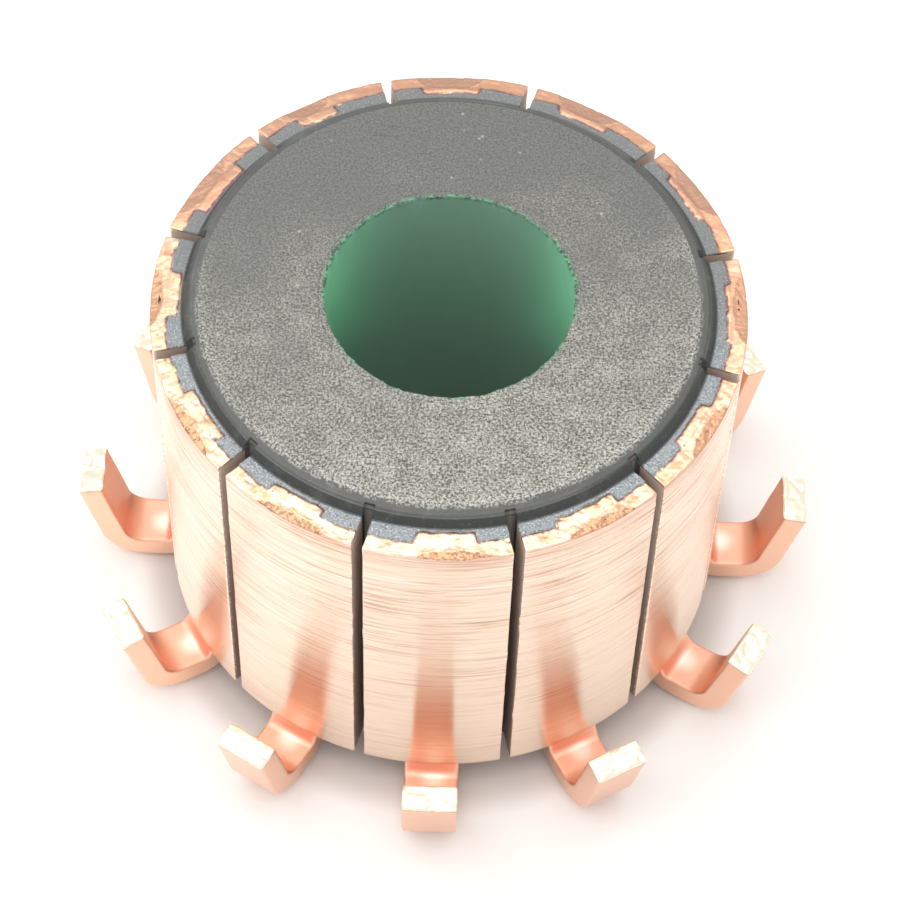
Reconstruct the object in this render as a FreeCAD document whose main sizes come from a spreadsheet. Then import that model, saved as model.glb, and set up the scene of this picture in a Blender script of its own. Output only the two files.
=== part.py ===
"""Twelve-bar commutator with winding hooks.

A moulded resin core holds a ring of copper bars. Every bar ends below in a hook for the winding wire,
and a thin insulating sleeve lines the shaft bore. Millimetres, +Z along the shaft. The origin is the
centre of the collar's lower face, on which the commutator stands.
"""
import FreeCAD
import Part
import Sketcher
import math
import os

SIZES = (
    ("bar_count", 12, "bars round the barrel"),
    ("barrel_radius", 12.0, "brush surface of the bars"),
    ("bar_length", 16.6, "bar from its lower end to its end face"),
    ("bar_wall", 1.4, "copper wall of a bar"),
    ("rim_chamfer", 0.08, "broken edge round the bars' end faces"),
    ("clinch_angle", 15.0, "middle of a bar's end face, pressed over the resin, degrees about the shaft"),
    ("facet_width", 0.45, "slanted facet pressed into the rim there, across the end face"),
    ("facet_depth", 0.18, "slanted facet, down the brush surface"),
    ("slot_width", 0.42, "saw slot between two bars"),
    ("slot_undercut", 0.3, "saw slot past the copper wall, into the resin"),
    ("root_depth", 1.8, "dovetail root below the copper wall"),
    ("root_neck", 1.5, "dovetail root where it leaves the wall"),
    ("root_foot", 2.7, "dovetail root at its foot"),
    ("root_cover", 1.6, "resin over each end of the dovetail root"),
    ("strip_width", 2.3, "hook strip across"),
    ("strip_thickness", 1.08, "hook strip through"),
    ("strip_corner", 0.12, "broken long corners of the strip"),
    ("tip_chamfer", 0.1, "broken edge round the hook's cut end"),
    ("root_bend", 0.45, "inner radius of the bend at the bar's lower end"),
    ("hook_run", 0.75, "level run between the two bends"),
    ("hook_bend", 0.9, "inner radius of the hook's upward bend"),
    ("hook_lean", 13.0, "outward lean of the hook's tip, degrees"),
    ("tip_length", 3.45, "straight tip above the upward bend"),
    ("hook_clearance", 0.22, "hooks clear of the plane on which the collar stands"),
    ("disc_setback", 1.28, "foot of the raised disc's wall, in from the brush surface"),
    ("disc_draft", 0.22, "lean of the disc's wall"),
    ("disc_rise", 0.65, "raised disc above the bars' end faces"),
    ("bevel_width", 0.45, "bevel round the disc's flat top, inwards"),
    ("bevel_drop", 0.25, "bevel round the disc's flat top, downwards"),
    ("film_width", 0.65, "resin film on the end faces, from the disc's wall outwards"),
    ("film_thickness", 0.06, "resin film on the end faces"),
    ("collar_setback", 2.0, "wall of the collar below the bars, in from the brush surface"),
    ("collar_chamfer", 0.4, "broken edge round the collar"),
    ("bore_radius", 5.0, "shaft bore inside the sleeve"),
    ("sleeve_wall", 0.25, "insulating sleeve"),
    ("sleeve_chamfer", 0.12, "lead-in at both ends of the sleeve"),
)

# Degrees about the shaft axis; the first bar faces -Y
FULL_TURN = 360.0
FIRST_BAR_ANGLE = -90.0

QUARTER = math.pi / 2
UP = FreeCAD.Vector(0, 0, 1)

doc = FreeCAD.newDocument("commutator")


def add_sheet():
    """The driving dimensions, one row each: name, value, what it measures."""
    made = doc.addObject("Spreadsheet::Sheet", "sizes")
    for row, (name, value, meaning) in enumerate(SIZES, start=1):
        made.set(f"A{row}", name)
        made.set(f"B{row}", str(value))
        made.set(f"C{row}", meaning)
        made.setAlias(f"B{row}", name)
    doc.recompute()
    return made


sheet = add_sheet()

# Heights and radii that several pieces share
BAR_FOOT = "(sizes.hook_clearance + sizes.strip_thickness + sizes.root_bend)"
BAR_TOP = f"({BAR_FOOT} + sizes.bar_length)"
TOTAL = f"({BAR_TOP} + sizes.disc_rise)"
FILM_TOP = f"({BAR_TOP} + sizes.film_thickness)"
WALL_INSIDE = "(sizes.barrel_radius - sizes.bar_wall)"
SLOT_FLOOR = f"({WALL_INSIDE} - sizes.slot_undercut)"
DISC_FOOT = "(sizes.barrel_radius - sizes.disc_setback)"
DISC_SIDE = f"({DISC_FOOT} - sizes.disc_draft)"
FILM_OUTSIDE = f"({DISC_FOOT} + sizes.film_width)"
COLLAR_WALL = "(sizes.barrel_radius - sizes.collar_setback)"
SLEEVE_OUTSIDE = "(sizes.bore_radius + sizes.sleeve_wall)"
HALF_PITCH = "180deg / sizes.bar_count"


def number(formula):
    """The present value of a formula on the sheet."""
    found = sheet.evalExpression(formula)
    return float(getattr(found, "Value", found))


def add_body(name):
    """An empty body under its own label."""
    made = doc.addObject("PartDesign::Body", name)
    made.Label = name
    return made


def origin_feature(body, role):
    """One of the body's own origin planes or axes."""
    return next(f for f in body.Origin.OriginFeatures if f.Role == role)


def add_sketch(body, name, plane, lift=None, turn=None):
    """A sketch on one of the body's origin planes, lifted and turned by formulas."""
    made = body.newObject("Sketcher::SketchObject", name)
    made.AttachmentSupport = (origin_feature(body, plane), "")
    made.MapMode = "FlatFace"
    if lift:
        made.setExpression("AttachmentOffset.Base.z", lift)
    if turn:
        made.setExpression("AttachmentOffset.Rotation.Angle", turn)
    return made


def bind(sketch, name, kind, *references, formula):
    """One driving constraint of a sketch, bound to the sheet."""
    value = number(formula)
    if kind == "Angle":
        value = FreeCAD.Units.Quantity(value, FreeCAD.Units.Angle)
    index = sketch.addConstraint(Sketcher.Constraint(kind, *references, value))
    sketch.renameConstraint(index, name)
    sketch.setExpression(f"Constraints.{name}", formula)


def place_point(sketch, name, geometry, point, across, along):
    """Ties a point of the sketch to formulas for its two coordinates."""
    bind(sketch, f"{name}_across", "DistanceX", -1, 1, geometry, point, formula=across)
    bind(sketch, f"{name}_along", "DistanceY", -1, 1, geometry, point, formula=along)


def draw_outline(sketch, corners):
    """A closed outline of straight lines through corners given as pairs of formulas."""
    points = [FreeCAD.Vector(number(across), number(along), 0) for across, along in corners]
    count = len(points)
    for here in range(count):
        sketch.addGeometry(Part.LineSegment(points[here], points[(here + 1) % count]), False)
    for here, (across, along) in enumerate(corners):
        sketch.addConstraint(Sketcher.Constraint("Coincident", (here - 1) % count, 2, here, 1))
        place_point(sketch, f"corner{here}", here, 1, across, along)


def turn_profile(body, name, corners, angle=None, feature="Revolution"):
    """Turns an outline of radii and heights about the shaft axis, by a full turn or by a formula."""
    profile = add_sketch(body, f"{name}_profile", "XZ_Plane")
    draw_outline(profile, corners)
    turned = body.newObject(f"PartDesign::{feature}", name)
    turned.Profile = profile
    turned.ReferenceAxis = (profile, ["V_Axis"])
    if angle:
        turned.Midplane = True
        turned.setExpression("Angle", angle)
    return turned


def saw_slot(body, name, turn=None):
    """A saw cut from end to end through the copper wall, along the sketch's own X direction.

    The saw reaches one wall's thickness past the brush surface.
    """
    profile = add_sketch(body, f"{name}_profile", "XY_Plane", turn=turn)
    reach = "sizes.barrel_radius + sizes.bar_wall"
    draw_outline(
        profile,
        (
            (SLOT_FLOOR, "-sizes.slot_width / 2"),
            (reach, "-sizes.slot_width / 2"),
            (reach, "sizes.slot_width / 2"),
            (SLOT_FLOOR, "sizes.slot_width / 2"),
        ),
    )
    cut = body.newObject("PartDesign::Pocket", name)
    cut.Profile = profile
    cut.Type = "ThroughAll"
    cut.SideType = "Symmetric"
    return cut


def add_wall(body):
    """The bar's share of the copper ring, its rim broken, with half a saw slot on either side."""
    turn_profile(
        body,
        f"{body.Name}_wall",
        (
            (WALL_INSIDE, BAR_FOOT),
            ("sizes.barrel_radius", BAR_FOOT),
            ("sizes.barrel_radius", f"{BAR_TOP} - sizes.rim_chamfer"),
            ("sizes.barrel_radius - sizes.rim_chamfer", BAR_TOP),
            (WALL_INSIDE, BAR_TOP),
        ),
        angle=f"2 * {HALF_PITCH}",
    )
    near = saw_slot(body, f"{body.Name}_near_side", turn=HALF_PITCH)
    doc.recompute()
    far = body.newObject("PartDesign::Mirrored", f"{body.Name}_far_side")
    far.Originals = [near]
    far.MirrorPlane = (origin_feature(body, "XZ_Plane"), [""])
    body.Tip = far


def add_clinch(body):
    """The middle of the end face, pressed flush with the resin film inside and into a facet at the rim."""
    doc.recompute()
    turn_profile(
        body,
        f"{body.Name}_lobe",
        (
            (DISC_FOOT, BAR_TOP),
            (FILM_OUTSIDE, BAR_TOP),
            (FILM_OUTSIDE, FILM_TOP),
            (DISC_FOOT, FILM_TOP),
        ),
        angle="sizes.clinch_angle * 1deg",
    )
    doc.recompute()
    turn_profile(
        body,
        f"{body.Name}_facet",
        (
            ("sizes.barrel_radius - sizes.facet_width", BAR_TOP),
            ("sizes.barrel_radius", f"{BAR_TOP} - sizes.facet_depth"),
            ("sizes.barrel_radius + sizes.facet_width", f"{BAR_TOP} - sizes.facet_depth"),
            ("sizes.barrel_radius + sizes.facet_width", BAR_TOP),
        ),
        angle="sizes.clinch_angle * 1deg",
        feature="Groove",
    )


def add_root(body):
    """The dovetail root on the wall's inner side, which the resin grips."""
    profile = add_sketch(body, f"{body.Name}_root_profile", "XY_Plane", lift=f"{BAR_FOOT} + sizes.root_cover")
    outer = f"{WALL_INSIDE} + sizes.bar_wall / 2"
    foot = f"{WALL_INSIDE} - sizes.root_depth"
    draw_outline(
        profile,
        (
            (foot, "-sizes.root_foot / 2"),
            (WALL_INSIDE, "-sizes.root_neck / 2"),
            (outer, "-sizes.root_neck / 2"),
            (outer, "sizes.root_neck / 2"),
            (WALL_INSIDE, "sizes.root_neck / 2"),
            (foot, "sizes.root_foot / 2"),
        ),
    )
    root = body.newObject("PartDesign::Pad", f"{body.Name}_root")
    root.Profile = profile
    root.setExpression("Length", "sizes.bar_length - 2 * sizes.root_cover")


def draw_hook_path(sketch):
    """The middle line of the hook strip: bend, level run, upward bend and leaning tip."""
    half = "sizes.strip_thickness / 2"
    first = f"(sizes.root_bend + {half})"
    second = f"(sizes.hook_bend + {half})"
    turn = "(90deg - sizes.hook_lean * 1deg)"
    start = (number(f"sizes.barrel_radius - {half}"), number(BAR_FOOT))
    first_radius = number(first)
    second_radius = number(second)
    run = number("sizes.hook_run")
    first_centre = FreeCAD.Vector(start[0] + first_radius, start[1], 0)
    low = start[1] - first_radius
    second_centre = FreeCAD.Vector(first_centre.x + run, low + second_radius, 0)
    leaning = FreeCAD.Rotation(UP, -number("sizes.hook_lean * 1deg"))
    bend_end = second_centre + leaning.multVec(FreeCAD.Vector(second_radius, 0, 0))
    tip_end = bend_end + leaning.multVec(FreeCAD.Vector(0, number("sizes.tip_length"), 0))
    level_ends = (FreeCAD.Vector(first_centre.x, low, 0), FreeCAD.Vector(second_centre.x, low, 0))
    root_circle = Part.Circle(first_centre, UP, first_radius)
    hook_circle = Part.Circle(second_centre, UP, second_radius)
    lowest = 3 * QUARTER
    root_arc = sketch.addGeometry(Part.ArcOfCircle(root_circle, 2 * QUARTER, lowest))
    level = sketch.addGeometry(Part.LineSegment(*level_ends))
    hook_arc = sketch.addGeometry(Part.ArcOfCircle(hook_circle, lowest, lowest + math.radians(number(turn))))
    tip = sketch.addGeometry(Part.LineSegment(bend_end, tip_end))
    for joint in (
        Sketcher.Constraint("Tangent", root_arc, 2, level, 1),
        Sketcher.Constraint("Tangent", level, 2, hook_arc, 1),
        Sketcher.Constraint("Tangent", hook_arc, 2, tip, 1),
        Sketcher.Constraint("Horizontal", level),
        Sketcher.Constraint("Horizontal", root_arc, 1, root_arc, 3),
    ):
        sketch.addConstraint(joint)
    place_point(sketch, "start", root_arc, 1, f"sizes.barrel_radius - {half}", BAR_FOOT)
    bind(sketch, "root_bend", "Radius", root_arc, formula=first)
    bind(sketch, "run", "DistanceX", level, 1, level, 2, formula="sizes.hook_run")
    bind(sketch, "hook_bend", "Radius", hook_arc, formula=second)
    bind(sketch, "turn", "Angle", tip, formula=turn)
    bind(sketch, "tip", "Distance", tip, formula="sizes.tip_length")


def draw_strip_section(sketch):
    """The strip's section where it leaves the bar: a rectangle with its four corners broken."""
    outer = "sizes.barrel_radius"
    inner = "(sizes.barrel_radius - sizes.strip_thickness)"
    half = "sizes.strip_width / 2"
    draw_outline(
        sketch,
        (
            (outer, f"{half} - sizes.strip_corner"),
            (f"{outer} - sizes.strip_corner", half),
            (f"{inner} + sizes.strip_corner", half),
            (inner, f"{half} - sizes.strip_corner"),
            (inner, f"sizes.strip_corner - {half}"),
            (f"{inner} + sizes.strip_corner", f"-{half}"),
            (f"{outer} - sizes.strip_corner", f"-{half}"),
            (outer, f"sizes.strip_corner - {half}"),
        ),
    )


def add_hook(body):
    """The winding hook: a strip swept down from the bar, outwards and up, with its cut end broken."""
    section = add_sketch(body, f"{body.Name}_strip_section", "XY_Plane", lift=BAR_FOOT)
    draw_strip_section(section)
    path = add_sketch(body, f"{body.Name}_hook_path", "XZ_Plane")
    draw_hook_path(path)
    doc.recompute()
    hook = body.newObject("PartDesign::AdditivePipe", f"{body.Name}_hook")
    hook.Profile = section
    hook.Spine = (path, [f"Edge{edge}" for edge in range(1, len(path.Shape.Edges) + 1)])
    doc.recompute()
    tip = path.Shape.Vertexes[-1].Point
    faces = hook.Shape.Faces
    nearest = min(range(len(faces)), key=lambda face: faces[face].CenterOfMass.distanceToPoint(tip))
    broken = body.newObject("PartDesign::Chamfer", f"{body.Name}_tip")
    broken.Base = (hook, [f"Face{nearest + 1}"])
    broken.setExpression("Size", "sizes.tip_chamfer")
    body.Tip = broken


def add_bar(place):
    """One copper bar with its root and hook, at its place round the barrel, the first at the front."""
    bar = add_body(f"bar_{place + 1:02d}")
    add_wall(bar)
    add_clinch(bar)
    add_root(bar)
    doc.recompute()
    add_hook(bar)
    angle = FIRST_BAR_ANGLE + place * FULL_TURN / number("sizes.bar_count")
    bar.Placement = FreeCAD.Placement(FreeCAD.Vector(), FreeCAD.Rotation(UP, angle))
    return bar


def add_core(bars):
    """The resin moulding: collar, body, film and raised disc, sawn between the bars and filled round them."""
    blank = add_body("core_blank")
    turn_profile(
        blank,
        "core_turned",
        (
            (SLEEVE_OUTSIDE, "0"),
            (f"{COLLAR_WALL} - sizes.collar_chamfer", "0"),
            (COLLAR_WALL, "sizes.collar_chamfer"),
            (COLLAR_WALL, BAR_FOOT),
            (WALL_INSIDE, BAR_FOOT),
            (WALL_INSIDE, BAR_TOP),
            (FILM_OUTSIDE, BAR_TOP),
            (FILM_OUTSIDE, FILM_TOP),
            (DISC_FOOT, FILM_TOP),
            (DISC_SIDE, f"{TOTAL} - sizes.bevel_drop"),
            (f"{DISC_SIDE} - sizes.bevel_width", TOTAL),
            (SLEEVE_OUTSIDE, TOTAL),
        ),
    )
    doc.recompute()
    slot = saw_slot(blank, "core_slot", turn=HALF_PITCH)
    doc.recompute()
    slots = blank.newObject("PartDesign::PolarPattern", "core_slots")
    slots.Originals = [slot]
    slots.Axis = (origin_feature(blank, "Z_Axis"), [""])
    slots.Angle = FULL_TURN
    slots.setExpression("Occurrences", "sizes.bar_count")
    blank.Tip = slots
    doc.recompute()
    ring = doc.addObject("Part::MultiFuse", "bar_ring")
    ring.Shapes = bars
    core = doc.addObject("Part::Cut", "moulded_core")
    core.Label = "moulded_core"
    core.Base = blank
    core.Tool = ring
    return core


def add_sleeve():
    """The insulating sleeve in the bore, from end to end, with a lead-in at both ends."""
    sleeve = add_body("bore_sleeve")
    lead = "sizes.bore_radius + sizes.sleeve_chamfer"
    turn_profile(
        sleeve,
        "sleeve_turned",
        (
            (lead, "0"),
            (SLEEVE_OUTSIDE, "0"),
            (SLEEVE_OUTSIDE, TOTAL),
            (lead, TOTAL),
            ("sizes.bore_radius", f"{TOTAL} - sizes.sleeve_chamfer"),
            ("sizes.bore_radius", "sizes.sleeve_chamfer"),
        ),
    )
    return sleeve


def check(pieces):
    """Stops if an object of the document failed or a piece is not one valid solid."""
    for made in doc.Objects:
        if "Invalid" in made.State or "Error" in made.State:
            raise RuntimeError(f"{made.Name} failed: {made.State}")
    for piece in pieces:
        shape = piece.Shape
        if shape.isNull() or not shape.isValid() or len(shape.Solids) != 1:
            raise RuntimeError(f"{piece.Label} is not one valid solid")


def main():
    bars = [add_bar(place) for place in range(int(number("sizes.bar_count")))]
    pieces = [add_core(bars), add_sleeve(), *bars]
    doc.recompute()
    check(pieces)
    os.makedirs("parts", exist_ok=True)
    for piece in pieces:
        piece.Shape.exportStep(f"parts/{piece.Label}.step")
        print(f"{piece.Label}: {piece.Shape.Volume:.2f} mm3, {len(piece.Shape.Faces)} faces")


main()
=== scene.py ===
"""Looks of a hook commutator: turned copper bars with winding hooks, a sawn resin core and a green sleeve.

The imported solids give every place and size. This script replaces them with finely meshed pieces of the
same sizes, dresses those in procedural finishes, and sets a white table, soft light and the camera.
Lengths in the classes are millimetres; a mesh is scaled to metres when it is made.
"""

import logging
import math
from dataclasses import dataclass, field
from enum import Enum
from typing import Any

import bmesh
import bpy
import numpy as np
from mathutils import Matrix, Vector


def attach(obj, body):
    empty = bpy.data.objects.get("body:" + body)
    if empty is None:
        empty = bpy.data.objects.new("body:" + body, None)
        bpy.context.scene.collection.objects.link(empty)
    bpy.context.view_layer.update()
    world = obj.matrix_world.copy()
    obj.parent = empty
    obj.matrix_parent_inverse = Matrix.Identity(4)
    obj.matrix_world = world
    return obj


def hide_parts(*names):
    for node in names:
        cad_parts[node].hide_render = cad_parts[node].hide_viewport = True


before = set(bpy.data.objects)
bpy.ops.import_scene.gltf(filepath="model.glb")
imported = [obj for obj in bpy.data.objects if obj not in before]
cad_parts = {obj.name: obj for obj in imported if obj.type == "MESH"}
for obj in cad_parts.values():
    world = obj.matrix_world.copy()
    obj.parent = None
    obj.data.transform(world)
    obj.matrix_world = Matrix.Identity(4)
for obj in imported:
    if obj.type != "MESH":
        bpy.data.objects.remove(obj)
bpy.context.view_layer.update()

MM = 0.001
# Size of the bars' texture space, in metres
TEXTURE_REACH = 0.02
LOG = logging.getLogger("commutator")

Colour = tuple[float, float, float]
Span = tuple[float, float]
Finishes = tuple[bpy.types.Material, bpy.types.Material]

# A layer of noise: its height, its cells for each millimetre in both directions, and a place of its own
Layer = tuple[float, float, float, float]

FILM_BORDER = ((0.07, 0.9, 0.9, 3.1), (0.045, 3.4, 3.4, 9.4), (0.022, 11.0, 11.0, 5.7))
LOBE_SIDES = ((0.2, 1.2, 1.6, 13.1), (0.09, 3.7, 3.7, 19.4), (0.03, 10.0, 10.0, 15.7))
FACET_EDGE = ((0.07, 2.3, 1.7, 4.4), (0.04, 8.0, 6.1, 2.2))
HAMMERED = ((0.028, 1.9, 2.2, 0.0), (0.014, 5.2, 5.2, 4.0))
SHEARED = ((0.06, 1.5, 1.5, 0.0), (0.05, 4.5, 4.5, 3.0))
FILM_SKIN = ((0.008, 4.0, 4.0, 0.0), (0.006, 10.0, 10.0, 2.0))
# The sleeve's lip is counted in grid columns
SLEEVE_LIP = ((0.03, 1 / 7.5, 1.0, 0.0), (0.025, 1 / 2.5, 5.0, 0.0))

# Places of the grid lines over a rounding, in shares of it
CROWD = (0.0, 0.27, 0.55, 1.0)


class Mark(Enum):
    """Names of the point attributes that the copper finishes read."""

    TURNED = "turned"
    FACE = "face"
    FACET = "facet"
    SEAM = "seam"
    SIDE = "side"
    EDGE = "edge"
    INNER = "inner"
    CUT = "cut"
    WARM = "warm"
    SHINE = "shine"


MarkedMesh = tuple[np.ndarray, np.ndarray, dict[Mark, np.ndarray]]


class Zone(Enum):
    """Parts of the resin moulding's skin that have a finish of their own."""

    MOULDED = 0
    SAWN = 1
    FILM = 2


# Sizes shared by the pieces


@dataclass(frozen=True)
class Barrel:
    """Sizes that the bars, the core and the sleeve share, in millimetres.

    Attributes:
        bars: Number of bars, each facing the middle of its share of the circle.
        radius: Brush surface.
        wall: Copper wall of a bar.
        foot: Height of the bars' lower ends.
        face: Height of the bars' end faces.
        top: Height of the raised disc.
        slot: Width of a saw slot.
        slot_floor: Radius of a saw slot's floor.
        disc_foot: Radius of the raised disc where it meets the film.
        disc_side: Radius of the disc's wall at the foot of its bevel.
        disc_top: Radius of the disc's flat top.
        bevel: Drop of the bevel between wall and top.
        collar: Radius of the collar below the bars.
        bore: Radius of the shaft bore.
        sleeve: Outer radius of the sleeve.
    """

    bars: int = 12
    radius: float = 12.0
    wall: float = 1.4
    foot: float = 1.75
    face: float = 18.35
    top: float = 19.0
    slot: float = 0.42
    slot_floor: float = 10.3
    disc_foot: float = 10.72
    disc_side: float = 10.5
    disc_top: float = 10.05
    bevel: float = 0.25
    collar: float = 10.0
    bore: float = 5.0
    sleeve: float = 5.25

    @property
    def inside(self) -> float:
        """Radius of the bars' inner side."""
        return self.radius - self.wall

    @property
    def shoulder(self) -> float:
        """Height at which the disc's wall turns into its bevel."""
        return self.top - self.bevel

    @property
    def pitch(self) -> float:
        """Angle from one bar to the next, in degrees."""
        return 360.0 / self.bars

    def half_angle(self, radius: np.ndarray | float) -> np.ndarray | float:
        """Angle from a bar's middle to its slot at a radius, in degrees."""
        return self.pitch / 2 - np.degrees(np.arcsin(self.slot / 2 / radius))


@dataclass(frozen=True)
class Strip:
    """Sizes of the hook strip, in millimetres, and its lean in degrees.

    Attributes:
        width: Across the strip.
        thickness: Through the strip.
        root_bend: Inner radius of the bend below the bar.
        run: Level run between the bends.
        hook_bend: Inner radius of the upward bend.
        lean: Outward lean of the tip.
        tip: Straight tip above the bend.
        buried: Length that lies inside the bar.
        edge: Rounding of the long corners.
    """

    width: float = 2.3
    thickness: float = 1.08
    root_bend: float = 0.45
    run: float = 0.75
    hook_bend: float = 0.9
    lean: float = 13.0
    tip: float = 3.45
    buried: float = 0.9
    edge: float = 0.13

    @property
    def bends(self) -> tuple[float, float]:
        """Radii of the two bends at the strip's middle."""
        return self.root_bend + self.thickness / 2, self.hook_bend + self.thickness / 2

    @property
    def length(self) -> float:
        """Length of the strip's middle line.

        Returns:
            The length in millimetres, with the buried part.
        """
        first, second = self.bends
        turn = math.radians(90.0 - self.lean)
        return self.buried + first * math.pi / 2 + self.run + second * turn + self.tip

    def corners(self, barrel: Barrel) -> list[Vector]:
        """Corners of the strip's middle line before its bends are rounded.

        Args:
            barrel: The bars' shared sizes.

        Returns:
            Four points in the plane of the bar's middle, the bar facing -Y.
        """
        first, second = self.bends
        start = barrel.radius - self.thickness / 2
        low = barrel.foot - first
        turn = math.radians(90.0 - self.lean)
        reach = second * math.tan(turn / 2)
        knee = start + first + self.run + reach
        rise = reach + self.tip
        lean = math.radians(self.lean)
        return [
            Vector((0, -start, barrel.foot + self.buried)),
            Vector((0, -start, low)),
            Vector((0, -knee, low)),
            Vector((0, -knee - rise * math.sin(lean), low + rise * math.cos(lean))),
        ]


@dataclass(frozen=True)
class Clinch:
    """The middle of one bar's end face, pressed over the resin.

    Attributes:
        start: Where the copper lobe begins, degrees from the bar's middle.
        end: Where it ends.
        film: Width of the resin left between the disc and the lobe, in millimetres.
        warm: How orange the end face is, from 0 for pale to 1 for orange; it rises towards the rear as
            painted shade.
    """

    start: float
    end: float
    film: float
    warm: float


# The bars in order round the barrel, the first at the front
CLINCHES = (
    Clinch(-4.2, 8.0, 0.06, 0.10),
    Clinch(-5.6, 7.0, 0.15, 0.25),
    Clinch(-5.5, 6.8, 0.24, 0.40),
    Clinch(-7.0, 8.0, 0.38, 0.65),
    Clinch(-5.2, 8.0, 0.36, 0.90),
    Clinch(-4.5, 7.6, 0.24, 1.00),
    Clinch(-5.2, 7.3, 0.28, 1.00),
    Clinch(-2.8, 5.6, 0.17, 0.80),
    Clinch(-6.6, 8.4, 0.07, 0.85),
    Clinch(-6.0, 6.2, 0.14, 0.45),
    Clinch(-5.0, 8.6, 0.14, 0.15),
    Clinch(-6.2, 6.8, 0.19, 0.10),
)


class Grain:
    """Smooth seeded noise between -1 and 1, the same on every run."""

    CELLS = 48

    def __init__(self, seed: int) -> None:
        """Draws the noise's values."""
        self.values = np.random.default_rng(seed).uniform(-1, 1, (self.CELLS,) * 3)

    def at(self, x: Any, y: Any, z: Any = 0.0) -> np.ndarray:
        """Noise at points given in cells.

        Args:
            x: First coordinate, one number or an array.
            y: Second coordinate.
            z: Third coordinate.

        Returns:
            The noise, one value for each point.
        """
        points = np.broadcast_arrays(*(np.asarray(part, float) for part in (x, y, z)))
        floors = [np.floor(part).astype(int) for part in points]
        shares = [part - low for part, low in zip(points, floors)]
        shares = [share * share * (3 - 2 * share) for share in shares]
        total = np.zeros(points[0].shape)
        for corner in np.ndindex(2, 2, 2):
            weight = np.ones(points[0].shape)
            for side, share in zip(corner, shares):
                weight = weight * (share if side else 1 - share)
            cell = tuple((low + side) % self.CELLS for low, side in zip(floors, corner))
            total += weight * self.values[cell]
        return total

    def sum(self, x: Any, y: Any, layers: tuple[Layer, ...]) -> np.ndarray:
        """Several layers of noise, added.

        Args:
            x: First coordinate in millimetres, one number or an array.
            y: Second coordinate.
            layers: The layers.

        Returns:
            The sum, one value for each point.
        """
        return sum(height * self.at(x * along, y * across, place) for height, along, across, place in layers)


def ramp(value: np.ndarray, low: float, high: float) -> np.ndarray:
    """Smooth step from 0 at low to 1 at high; it falls where low is above high."""
    share = np.clip((value - low) / (high - low), 0, 1)
    return share * share * (3 - 2 * share)


def soft_least(first: np.ndarray, second: np.ndarray, reach: float) -> np.ndarray:
    """The smaller of two values, rounded where they come within a reach of each other."""
    share = np.clip(0.5 + 0.5 * (second - first) / reach, 0, 1)
    return second * (1 - share) + first * share - reach * share * (1 - share)


def soft_most(first: np.ndarray, second: np.ndarray, reach: float) -> np.ndarray:
    """The larger of two values, rounded in the same way."""
    return -soft_least(-first, -second, reach)


@dataclass
class EndFace:
    """The pattern of copper and resin on the bars' end faces.

    Attributes:
        barrel: The bars' shared sizes.
        film: Width of the resin film beside the slots, in millimetres.
        facet: Width of the slanted facet at the rim.
        spread: How much wider it is on the warmest bar.
        drop: How far that facet falls for each millimetre outwards.
        seed: Seed of the ragged border.
        grain: Its noise.
    """

    barrel: Barrel
    film: float = 0.62
    facet: float = 0.37
    spread: float = 0.45
    drop: float = 0.33
    seed: int = 7
    grain: Grain = field(init=False)

    def __post_init__(self) -> None:
        """Draws the noise of the ragged border."""
        self.grain = Grain(self.seed)

    def clinch(self, angle: np.ndarray) -> tuple[np.ndarray, ...]:
        """Looks up each point's bar.

        Args:
            angle: Degrees round the barrel from -Y towards +X.

        Returns:
            Angle from the bar's middle, and the lobe's start, end, film width and warmth there.
        """
        place = np.floor(angle / self.barrel.pitch + 0.5).astype(int)
        local = angle - place * self.barrel.pitch
        table = np.array([(item.start, item.end, item.film, item.warm) for item in CLINCHES])
        found = table[place % self.barrel.bars]
        return local, found[..., 0], found[..., 1], found[..., 2], found[..., 3]

    def border(self, angle: np.ndarray, radius: np.ndarray) -> np.ndarray:
        """Distance from the film's ragged border.

        Args:
            angle: Degrees round the barrel.
            radius: Radius of each point.

        Returns:
            The distance in millimetres, positive on the copper.
        """
        local, start, end, film, _ = self.clinch(angle)
        arc = np.radians(angle) * self.barrel.radius
        rough = self.grain.sum(arc, radius, FILM_BORDER)
        sway = self.grain.sum(arc, radius, LOBE_SIDES)
        outside = radius - self.barrel.disc_foot - self.film - rough
        inside = radius - self.barrel.disc_foot - film - rough
        across = np.radians(np.minimum(local - start, end - local)) * radius + sway
        return soft_most(outside, soft_least(across, inside, 0.16), 0.14)

    def facet_depth(self, angle: np.ndarray, radius: np.ndarray) -> np.ndarray:
        """How far outside the facet's inner edge a point lies.

        Args:
            angle: Degrees round the barrel.
            radius: Radius of each point.

        Returns:
            The distance in millimetres, never below zero.
        """
        local, start, end, _, warm = self.clinch(angle)
        arc = np.radians(angle) * self.barrel.radius
        middle = (start + end) / 2 + 1.0
        half = (end - start) / 2 + 0.8
        lens = np.sqrt(np.clip(1 - ((local - middle) / half) ** 2, 0, 1))
        width = self.facet + self.spread * warm + self.grain.sum(arc, 1.0, FACET_EDGE)
        return np.clip(radius - (self.barrel.radius - width * lens), 0, None) * (lens > 0)


# Meshes


def lines(low: float, high: float, step: float, edge: float) -> np.ndarray:
    """Grid lines from low to high, crowded within a rounding of either end.

    Args:
        low: First line.
        high: Last line.
        step: Largest distance between lines.
        edge: Width of the rounding at each end.

    Returns:
        Rising values.
    """
    crowd = edge * np.array(CROWD)
    count = max(2, math.ceil((high - low - 2 * edge) / step) + 1)
    inner = np.linspace(low + edge, high - edge, count)
    return np.concatenate([low + crowd[:-1], inner, high - crowd[:-1][::-1]])


def joined(first: np.ndarray, second: np.ndarray) -> np.ndarray:
    """Two runs of grid lines as one, without the crowded lines where they meet."""
    crowded = len(CROWD) - 1
    return np.concatenate([first[:-crowded], second[crowded:]])


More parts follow.
